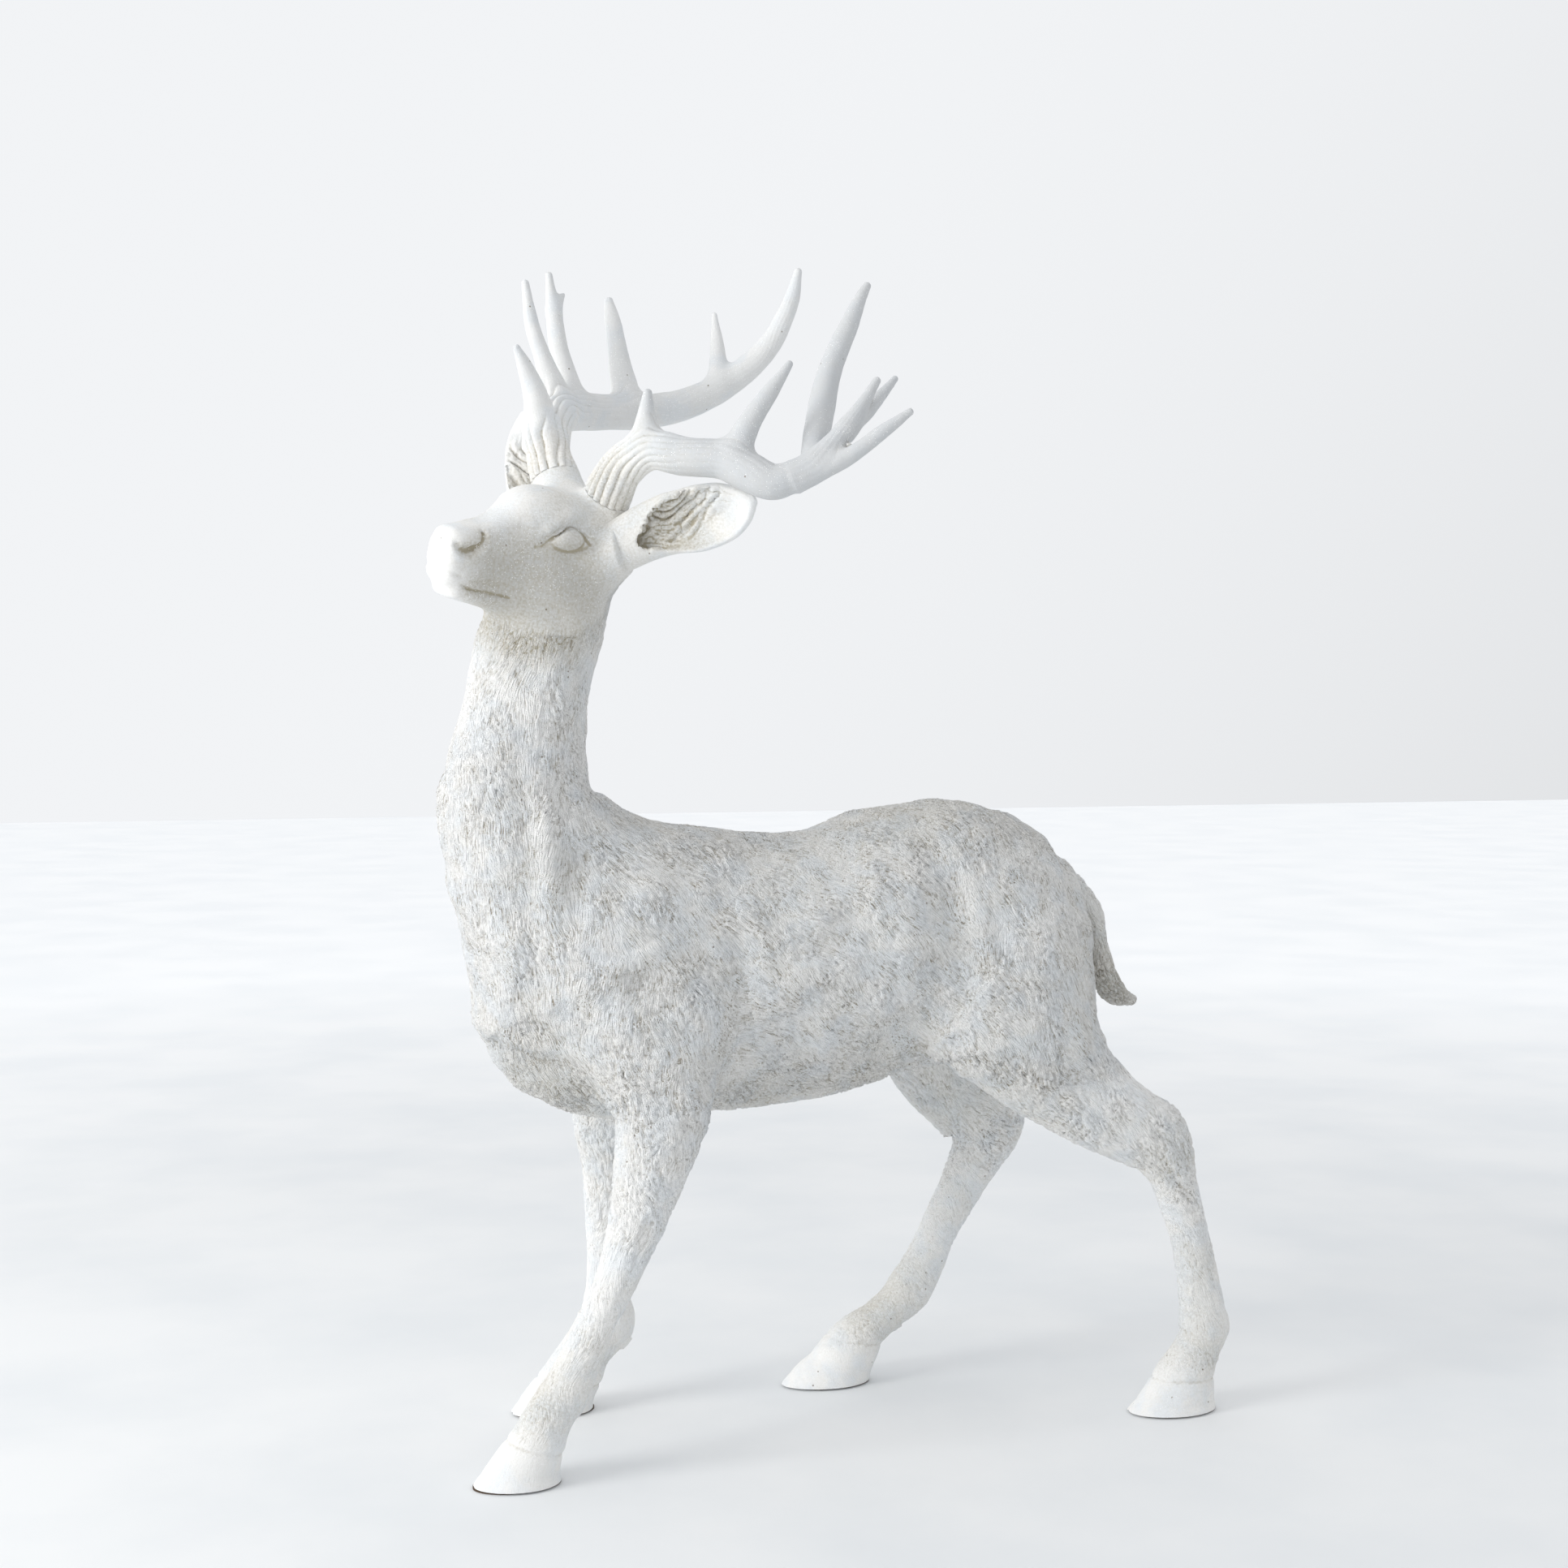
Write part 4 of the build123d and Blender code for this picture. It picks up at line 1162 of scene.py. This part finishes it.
def hind_cutter(where, side, up):
    """A box on one side of a hind leg's seam."""
    middle, normal = where
    shift = 0 if up > 0 else BODY_CUT_SHIFT
    middle = np.array([middle[0] + shift, side * HALF_WIDE / 2, middle[2]])
    normal = normal * up
    obj = slab((0, 0, 0), (0, 0, 1), (260.0, HALF_WIDE, 160.0))
    along = unit(np.cross([0.0, 1.0, 0.0], normal))
    axes = np.array([along, np.cross(normal, along), normal])
    points, _ = read_points(obj.data)
    obj.data.vertices.foreach_set("co", ((points @ axes + middle) * MM).astype(np.float32).ravel())
    obj.data.update()
    return obj


def below(z):
    """A cutter for everything under a height."""
    return slab((0, 0, z), (0, 0, -1), (HUGE, HUGE, 200.0))


def above(z):
    """A cutter for everything over a height."""
    return slab((0, 0, z), (0, 0, 1), (HUGE, HUGE, 200.0))


def casting(name, plain, carved, box, share, cutters, rise=None, levels=LEVELS, swell=0.0, grey_and_painted_shade=body_painted_shade):
    """A casting: meshed in its box, raised by its hair, trimmed at its seams and dressed."""
    low, high = (np.array(corner, float) for corner in box)
    step = STEP[name.split("_")[-1]]
    whole = inside_box(plain, low, high)
    points, quads = skin(lambda p: whole(p) - swell, inside_box(carved, low, high),
                         low - 2 * step, high + 2 * step, step, levels)
    height = rise(points) if rise else hair_height(points) * share(points)
    points = points + normals(points, quads) * height[:, None]
    obj = mesh_object("stag_" + name, points, quads)
    trim(obj, cutters)
    dress(obj, share, grey_and_painted_shade)
    return obj


BASES = (LEFT_BASE, RIGHT_BASE)
SEAM_GAP = 0.1                          # between a pedicle's flat top and the seam
SLEEVE_RADIUS, SLEEVE_DEPTH = 5.05, 26.0


def body_casting():
    """Trunk and neck, open at the head and the legs."""
    fore_box = slab((-150, 0, FORE_SEAM), (0, 0, -1), (320.0, 400.0, 60.0))
    cutters = [above(NECK_SEAM), fore_box, hind_cutter(LEFT_SEAM, -1, -1), hind_cutter(RIGHT_SEAM, 1, -1)]
    return casting("body", figure_plain, figure_carved, ((-305, -105, 196), (216, 105, 556)), body_hair,
                   cutters)


def head_casting():
    """Head and upper neck, with flat pedicles and the holes of the antler sleeves."""
    tops = [drum(middle + way * SEAM_GAP, way, 24.0, 30.0) for middle, way in BASES]
    holes = [drum(middle, -way, SLEEVE_RADIUS, SLEEVE_DEPTH, -2.0) for middle, way in BASES]
    return casting("head", figure_plain, figure_carved, ((-315, -90, 534), (-118, 75, 700)), head_hair,
                   [below(NECK_SEAM)] + tops + holes)


LEG_BOXES = {
    "left_fore": ((-300, -112, -12), (-60, -24, 226)), "right_fore": ((-300, 24, -12), (-60, 112, 226)),
    "left_hind": ((20, -112, -12), (300, 0, 262)), "right_hind": ((-60, 0, -12), (240, 112, 288)),
}


def leg_casting(name):
    """A leg from its seam down to the flat of its sole."""
    tops = {"left_hind": (LEFT_SEAM, -1, 1), "right_hind": (RIGHT_SEAM, 1, 1)}
    top = hind_cutter(*tops[name]) if name in tops else above(FORE_SEAM)
    return casting(name + "_leg", figure_plain, figure_carved, LEG_BOXES[name], leg_hair, [top, below(SOLE)])


def tail_hair(points):
    """Thicker towards the tip."""
    return 0.8 + 0.3 * ramp(points[:, 2], 330, 290)


def tail_casting():
    """The tail, down to its turned-up tip."""
    return casting("tail", tail.field, tail.field, ((186, -20, 268), (250, 20, 378)), tail_hair, [],
                   swell=1.0)


def ear_casting(name, ear):
    """A cupped ear with its tufts."""
    reach = np.vstack([ear.outside.centre - 30, ear.outside.centre + 30])
    return casting(name, ear.plain, ear.plain, (reach.min(0), reach.max(0)), bare, [], ear.strands, levels=1)


def antler_casting(name, tubes, base, seed):
    """An antler with a furrowed beam, flat at its seam."""
    field = antler_field(tubes)
    centres = np.vstack([tube.centre for tube in tubes])
    middle, way = base

    def furrowed(points):
        return field(points) - antler_relief(points, tubes[0], seed)

    return casting(name, field, furrowed, (centres.min(0) - 25, centres.max(0) + 25), bare,
                   [drum(middle + way * 0.3, -way, 30.0, 40.0)], bare, swell=1.2, grey_and_painted_shade=antler_cool)


castings = {"body_shell": body_casting(), "head_casting": head_casting()}
for name in LEG_BOXES:
    castings[name + "_leg"] = leg_casting(name)
castings["tail"] = tail_casting()
castings["left_ear"] = ear_casting("left_ear", LEFT_EAR)
castings["right_ear"] = ear_casting("right_ear", RIGHT_EAR)
castings["left_antler"] = antler_casting("left_antler", left_antler, LEFT_BASE, 31)
castings["right_antler"] = antler_casting("right_antler", right_antler, RIGHT_BASE, 47)


# ---- finishes ------------------------------------------------------------------------------------
class Nodes:
    """A short way of writing a material's nodes."""

    def __init__(self, name):
        self.material = bpy.data.materials.new(name)
        self.material.use_nodes = True
        self.tree = self.material.node_tree
        self.surface = self.tree.nodes["Principled BSDF"]

    def add(self, kind, inputs=None, out=0, **settings):
        """A node with its inputs set or linked; returns one of its outputs."""
        node = self.tree.nodes.new(kind)
        for key, value in settings.items():
            setattr(node, key, value)
        for key, value in (inputs or {}).items():
            self.put(node.inputs[key], value)
        return node.outputs[out]

    def put(self, socket, value):
        """Sets a socket, or links it."""
        if isinstance(value, bpy.types.NodeSocket):
            self.tree.links.new(value, socket)
        else:
            socket.default_value = value

    def math(self, operation, a, b=0.0, clamp=False):
        """A sum, product or other operation on two values."""
        return self.add("ShaderNodeMath", {0: a, 1: b}, operation=operation, use_clamp=clamp)

    def attribute(self, name, out="Fac"):
        """One of the values that dress stored in the mesh."""
        return self.add("ShaderNodeAttribute", out=out, attribute_name=name)

    def noise(self, size, detail=3.0, where=None):
        """Noise whose features are size metres wide."""
        inputs = {"Scale": 1 / size, "Detail": detail, "Vector": where or self.place}
        return self.add("ShaderNodeTexNoise", inputs)

    @property
    def place(self):
        """The piece's own coordinates, in metres."""
        return self.add("ShaderNodeTexCoord", out="Object")

    def steps(self, value, stops):
        """A colour ramp through (place, colour) stops."""
        node = self.tree.nodes.new("ShaderNodeValToRGB")
        self.tree.links.new(value, node.inputs[0])
        ramp_stops = node.color_ramp.elements
        while len(ramp_stops) < len(stops):
            ramp_stops.new(0.5)
        for stop, (where, colour) in zip(ramp_stops, stops):
            stop.position = where
            stop.color = (*colour, 1)
        return node.outputs[0]

    def mix(self, share, a, b):
        """Colour a with share of colour b over it."""
        node = self.tree.nodes.new("ShaderNodeMix")
        node.data_type = "RGBA"
        self.put(node.inputs["Factor"], share)
        self.put(node.inputs[6], a if not isinstance(a, tuple) else (*a, 1))
        self.put(node.inputs[7], b if not isinstance(b, tuple) else (*b, 1))
        return node.outputs[2]

    def finish(self, colour, roughness, metallic=0.0, normal=None):
        """Sets the surface."""
        for key, value in (("Base Color", colour), ("Roughness", roughness), ("Metallic", metallic)):
            self.put(self.surface.inputs[key], value)
        if normal:
            self.put(self.surface.inputs["Normal"], normal)
        return self.material


BLACK, WHITE = (0, 0, 0), (1, 1, 1)
PAINT = [(0.34, (0.85, 0.85, 0.835)), (0.50, (0.91, 0.905, 0.89)), (0.66, (0.94, 0.935, 0.92))]
# the grey is the antlers' own tone, and painted shade in the body's hollows and on the sides of the face
BLUE_PAINT, GREY_TONE_AND_SHADE = (0.78, 0.83, 0.88), (0.54, 0.555, 0.57)
# the brown washes darken the hollows and the hair grooves, as wash and as painted shade; the near-white flake
# colour is a painted glint
BROWN_WASH_AND_SHADE, GROOVE_WASH_AND_SHADE, CHIP, FLAKE_GLINT_WHITE = (0.41, 0.37, 0.28), (0.30, 0.255, 0.18), (0.16, 0.11, 0.06), (0.97, 0.97, 0.96)
STROKE_SAMPLES, STROKE_STEP = 7, 0.001  # how many samples make a hair stroke, and how far apart in metres


def hair_strokes(n, place, hair):
    """Fine strokes of hair: noise averaged along the lie of the hair, round zero."""
    lie = n.attribute("lie", "Vector")
    middle = STROKE_SAMPLES // 2
    total = None
    for i in range(STROKE_SAMPLES):
        along = (i - middle) * STROKE_STEP
        shift = n.add("ShaderNodeVectorMath", {0: lie, "Scale": along}, operation="SCALE")
        spot = n.add("ShaderNodeVectorMath", {0: place, 1: shift}, operation="ADD")
        sample = n.noise(0.00095, 1.0, spot)
        total = sample if total is None else n.math("ADD", total, sample)
    return n.math("MULTIPLY", n.math("SUBTRACT", total, STROKE_SAMPLES / 2), n.math("ADD", hair, 0.08))


def cells(n, place, scale):
    """Small cells: the distance to each one's middle, and its own random colour."""
    return [n.add("ShaderNodeTexVoronoi", {"Vector": place, "Scale": scale}, out=out, feature="F1")
            for out in (0, 1)]


def painted(n, place):
    """Off-white paint with cloudy bluish areas, and grey areas: the antlers' own grey, and painted shade in
    the body's hollows and on the sides of the face.
    """
    colour = n.steps(n.noise(0.045, 4.0, place), PAINT)
    blue = n.steps(n.noise(0.019, 3.0, place), [(0.44, BLACK), (0.62, WHITE)])
    colour = n.mix(n.math("MULTIPLY", blue, 0.5), colour, BLUE_PAINT)
    # painted shade: grey over the body's hollows and the sides of the face; on the antlers it is their own
    # grey
    return n.mix(n.math("MULTIPLY", n.attribute("grey_and_painted_shade"), 0.80), colour, GREY_TONE_AND_SHADE)


def washed_and_shaded(n, colour, place, strokes):
    """The colour with a brown wash over its beige patina areas, a brown wash and painted shade in its hollows
    and in the grooves of the hair strokes, and painted shade over the sides of the face.
    """
    hollow, stain_and_painted_shade = n.attribute("hollow"), n.attribute("patina_and_painted_shade")
    grime = n.noise(0.0016, 4.0, place)
    patch = n.steps(n.noise(0.012, 4.0, place), [(0.44, (0.15, 0.15, 0.15)), (0.60, WHITE)])
    patch = n.math("MAXIMUM", patch, n.math("MULTIPLY", n.math("POWER", stain_and_painted_shade, 3.0), 1.1))
    gathered = n.math("ADD", n.math("MULTIPLY", stain_and_painted_shade, 0.5), 0.55)
    # brown wash and painted shade: the hollows are darkened towards the wash colour
    depth = n.math("MULTIPLY", n.math("MAXIMUM", hollow, 0.0), gathered)
    hollow_wash_and_shade = n.math("MULTIPLY", depth, n.math("MULTIPLY", patch, 0.8))
    worn = n.math("MULTIPLY", stain_and_painted_shade, n.steps(grime, [(0.36, BLACK), (0.66, WHITE)]))
    even = n.math("MULTIPLY", stain_and_painted_shade, 0.30)
    tint = n.math("ADD", n.math("ADD", n.math("MULTIPLY", worn, 0.34), even), hollow_wash_and_shade, clamp=True)
    dust = n.math("MULTIPLY", n.steps(grime, [(0.45, BLACK), (0.75, WHITE)]), 0.08)
    colour = n.mix(n.math("ADD", tint, dust, clamp=True), colour, BROWN_WASH_AND_SHADE)
    # painted shade and brown wash: dark lines in the grooves of the hair strokes
    groove_shade_lines = n.math("MULTIPLY", n.math("SUBTRACT", -0.12, strokes), 2.2, clamp=True)
    return n.mix(n.math("MULTIPLY", groove_shade_lines, n.math("MULTIPLY", patch, 0.9), clamp=True), colour, GROOVE_WASH_AND_SHADE)


def chipped(n, colour, place, chips):
    """The colour with rare dark specks."""
    speck, own = cells(n, place, 210.0)
    chance = n.add("ShaderNodeSeparateColor", {0: own})
    rare = n.steps(chance, [(0.955 - 0.05 * chips, BLACK), (0.965, WHITE)])
    dot = n.steps(speck, [(0.10, WHITE), (0.16, BLACK)])
    return n.mix(n.math("MULTIPLY", rare, n.math("MULTIPLY", dot, 0.8)), colour, CHIP)


def resin(name, glitter, chips):
    """Matte white painted resin with patina, chips, fine glitter and carved hair; a brown wash and painted
    shade darken its hollows and hair grooves, painted grey shade lies on the sides of the face, and the
    glitter carries painted glints.
    """
    n = Nodes(name)
    place = n.place
    strokes = hair_strokes(n, place, n.attribute("hair"))
    colour = chipped(n, washed_and_shaded(n, painted(n, place), place, strokes), place, chips)

    flake, own = cells(n, place, 1150.0)
    spread = n.math("ADD", n.noise(0.03, 2.0, place), glitter)
    chosen = n.math("GREATER_THAN", n.math("ADD", n.add("ShaderNodeSeparateColor", {0: own}), spread), 1.50)
    flake_and_painted_glint = n.math("MULTIPLY", chosen, n.math("LESS_THAN", flake, 0.30))
    # painted glints: the chosen flakes are painted near-white and given a faint glow, besides their real low
    # roughness and tilted normals
    colour = n.mix(flake_and_painted_glint, colour, FLAKE_GLINT_WHITE)
    n.put(n.surface.inputs["Emission Color"], (1.0, 1.0, 1.0, 1))
    n.put(n.surface.inputs["Emission Strength"], n.math("MULTIPLY", flake_and_painted_glint, 0.10))

    grain = n.math("MULTIPLY", n.noise(0.0007, 2.0, place), 0.16)
    height = n.math("ADD", n.math("MULTIPLY", strokes, 0.8), grain)
    bump = n.add("ShaderNodeBump", {"Height": height, "Distance": 0.0012, "Strength": 0.9})
    away = n.add("ShaderNodeVectorMath", {0: own, 1: (-0.5, -0.5, -0.5)}, operation="ADD")
    lean = n.math("MULTIPLY", flake_and_painted_glint, 0.8)
    away = n.add("ShaderNodeVectorMath", {0: away, "Scale": lean}, operation="SCALE")
    tilted = n.add("ShaderNodeVectorMath", {0: bump, 1: away}, operation="ADD")
    tilted = n.add("ShaderNodeVectorMath", {0: tilted}, operation="NORMALIZE")
    return n.finish(colour, n.math("SUBTRACT", 0.78, n.math("MULTIPLY", flake_and_painted_glint, 0.55)), 0.0, tilted)


def plain_finish(name, dark, light, size, roughness, metallic=0.0, depth=0.0002):
    """A finish that varies between two colours, with a fine grain."""
    n = Nodes(name)
    field = n.noise(size, 4.0)
    bump = n.add("ShaderNodeBump", {"Height": field, "Distance": depth, "Strength": 0.6})
    return n.finish(n.steps(field, [(0.35, dark), (0.65, light)]), roughness, metallic, bump)


body_resin = resin("painted_resin", 0.10, 0.0)
antler_resin = resin("painted_resin_antler", 0.09, 1.0)
felt = plain_finish("foot_felt", (0.055, 0.035, 0.022), (0.11, 0.075, 0.05), 0.0006, 0.95)
steel = plain_finish("frame_steel", (0.30, 0.30, 0.31), (0.45, 0.45, 0.46), 0.002, 0.42, 1.0)
bright_steel = plain_finish("peg_steel", (0.50, 0.50, 0.51), (0.66, 0.66, 0.67), 0.001, 0.26, 1.0)
beech = plain_finish("dowel_wood", (0.52, 0.36, 0.20), (0.66, 0.49, 0.30), 0.003, 0.7)

# Which finish a CAD node takes, by a word in its name
CAD_FINISH = [("pad", felt), ("antler_socket", bright_steel), ("antler_peg", bright_steel),
              ("dowel", beech), ("rod", steel), ("bar", steel)]

for node, obj in castings.items():
    antler = node.endswith("antler")
    obj.data.materials.clear()
    obj.data.materials.append(antler_resin if antler else body_resin)
    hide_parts(node)
    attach(obj, node if antler else "figure")

for node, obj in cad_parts.items():
    finish = next((finish for word, finish in CAD_FINISH if word in node), None)
    if finish:
        for slot in obj.material_slots:
            slot.material = finish


# ---- floor, light and camera ---------------------------------------------------------------------
FLOOR_REACH = 9.0                       # metres from the middle to each edge
GLOW_REACH = 3.0                        # the floor brightens between 0.3 and 0.9 of this
BRIGHT_SIDE = (-0.66, 0.50, 0.56)       # where the studio is brightest


def area_light(name, place, target, size, power, colour):
    """A soft square light aimed at a place."""
    data = bpy.data.lights.new(name, "AREA")
    data.size, data.energy, data.color = size, power, colour
    obj = bpy.data.objects.new(name, data)
    obj.location = place
    obj.rotation_euler = (Vector(target) - Vector(place)).to_track_quat("-Z", "Y").to_euler()
    bpy.context.scene.collection.objects.link(obj)


def stage_floor():
    """A wide pale floor that glows more far away, a painted light, so that its edge melts into the
    background.
    """
    corners = np.array([(-1, -1, 0), (1, -1, 0), (1, 1, 0), (-1, 1, 0)]) * FLOOR_REACH / MM
    floor = mesh_object("floor", corners, np.array([(0, 1, 2, 3)]))
    paint = Nodes("pale_glowing_floor")
    mottle = paint.steps(paint.noise(0.22, 5.0), [(0.35, (0.80, 0.82, 0.835)), (0.62, (0.86, 0.87, 0.875))])
    paint.finish(mottle, 0.75)
    length = paint.add("ShaderNodeVectorMath", {0: paint.place}, 1, operation="LENGTH")
    # painted light: the floor glows more with distance, so that its far part matches the bright background
    fade = paint.steps(paint.math("DIVIDE", length, GLOW_REACH), [(0.3, BLACK), (0.9, WHITE)])
    paint.put(paint.surface.inputs["Emission Color"], (0.83, 0.84, 0.855, 1))
    paint.put(paint.surface.inputs["Emission Strength"], paint.math("MULTIPLY", fade, 0.25))
    floor.data.materials.append(paint.material)


def studio():
    """The light round the object: bright in front of it and to its far side, dimmer behind the camera."""
    world = bpy.data.worlds.new("studio")
    bpy.context.scene.world = world
    world.use_nodes = True
    nodes, links = world.node_tree.nodes, world.node_tree.links
    facing = nodes.new("ShaderNodeVectorMath")
    facing.operation = "DOT_PRODUCT"
    facing.inputs[1].default_value = BRIGHT_SIDE
    links.new(nodes.new("ShaderNodeTexCoord").outputs["Generated"], facing.inputs[0])
    glow = nodes.new("ShaderNodeMapRange")
    glow.interpolation_type = "SMOOTHSTEP"
    links.new(facing.outputs["Value"], glow.inputs["Value"])
    for key, value in (("From Min", -0.9), ("From Max", 0.45), ("To Min", 0.51), ("To Max", 0.92)):
        glow.inputs[key].default_value = value
    links.new(glow.outputs[0], nodes["Background"].inputs["Strength"])
    nodes["Background"].inputs["Color"].default_value = (0.965, 0.98, 1.0, 1)
    bpy.context.scene.view_settings.view_transform = "Standard"


def photo_camera():
    """A 50 mm lens at the photo's viewpoint."""
    lens = bpy.data.cameras.new("camera")
    lens.lens, lens.sensor_width = 50.0, 36.0
    camera = bpy.data.objects.new("camera", lens)
    camera.location = (-0.510, -1.4333, 0.494)
    camera.rotation_euler = (math.radians(88.15), 0.0, math.radians(-18.5))
    bpy.context.scene.collection.objects.link(camera)
    bpy.context.scene.camera = camera


stage_floor()
area_light("key", (-2.5, -0.45, 1.15), (0, 0, 0.4), 1.1, 32, (1.0, 0.99, 0.97))
studio()
photo_camera()
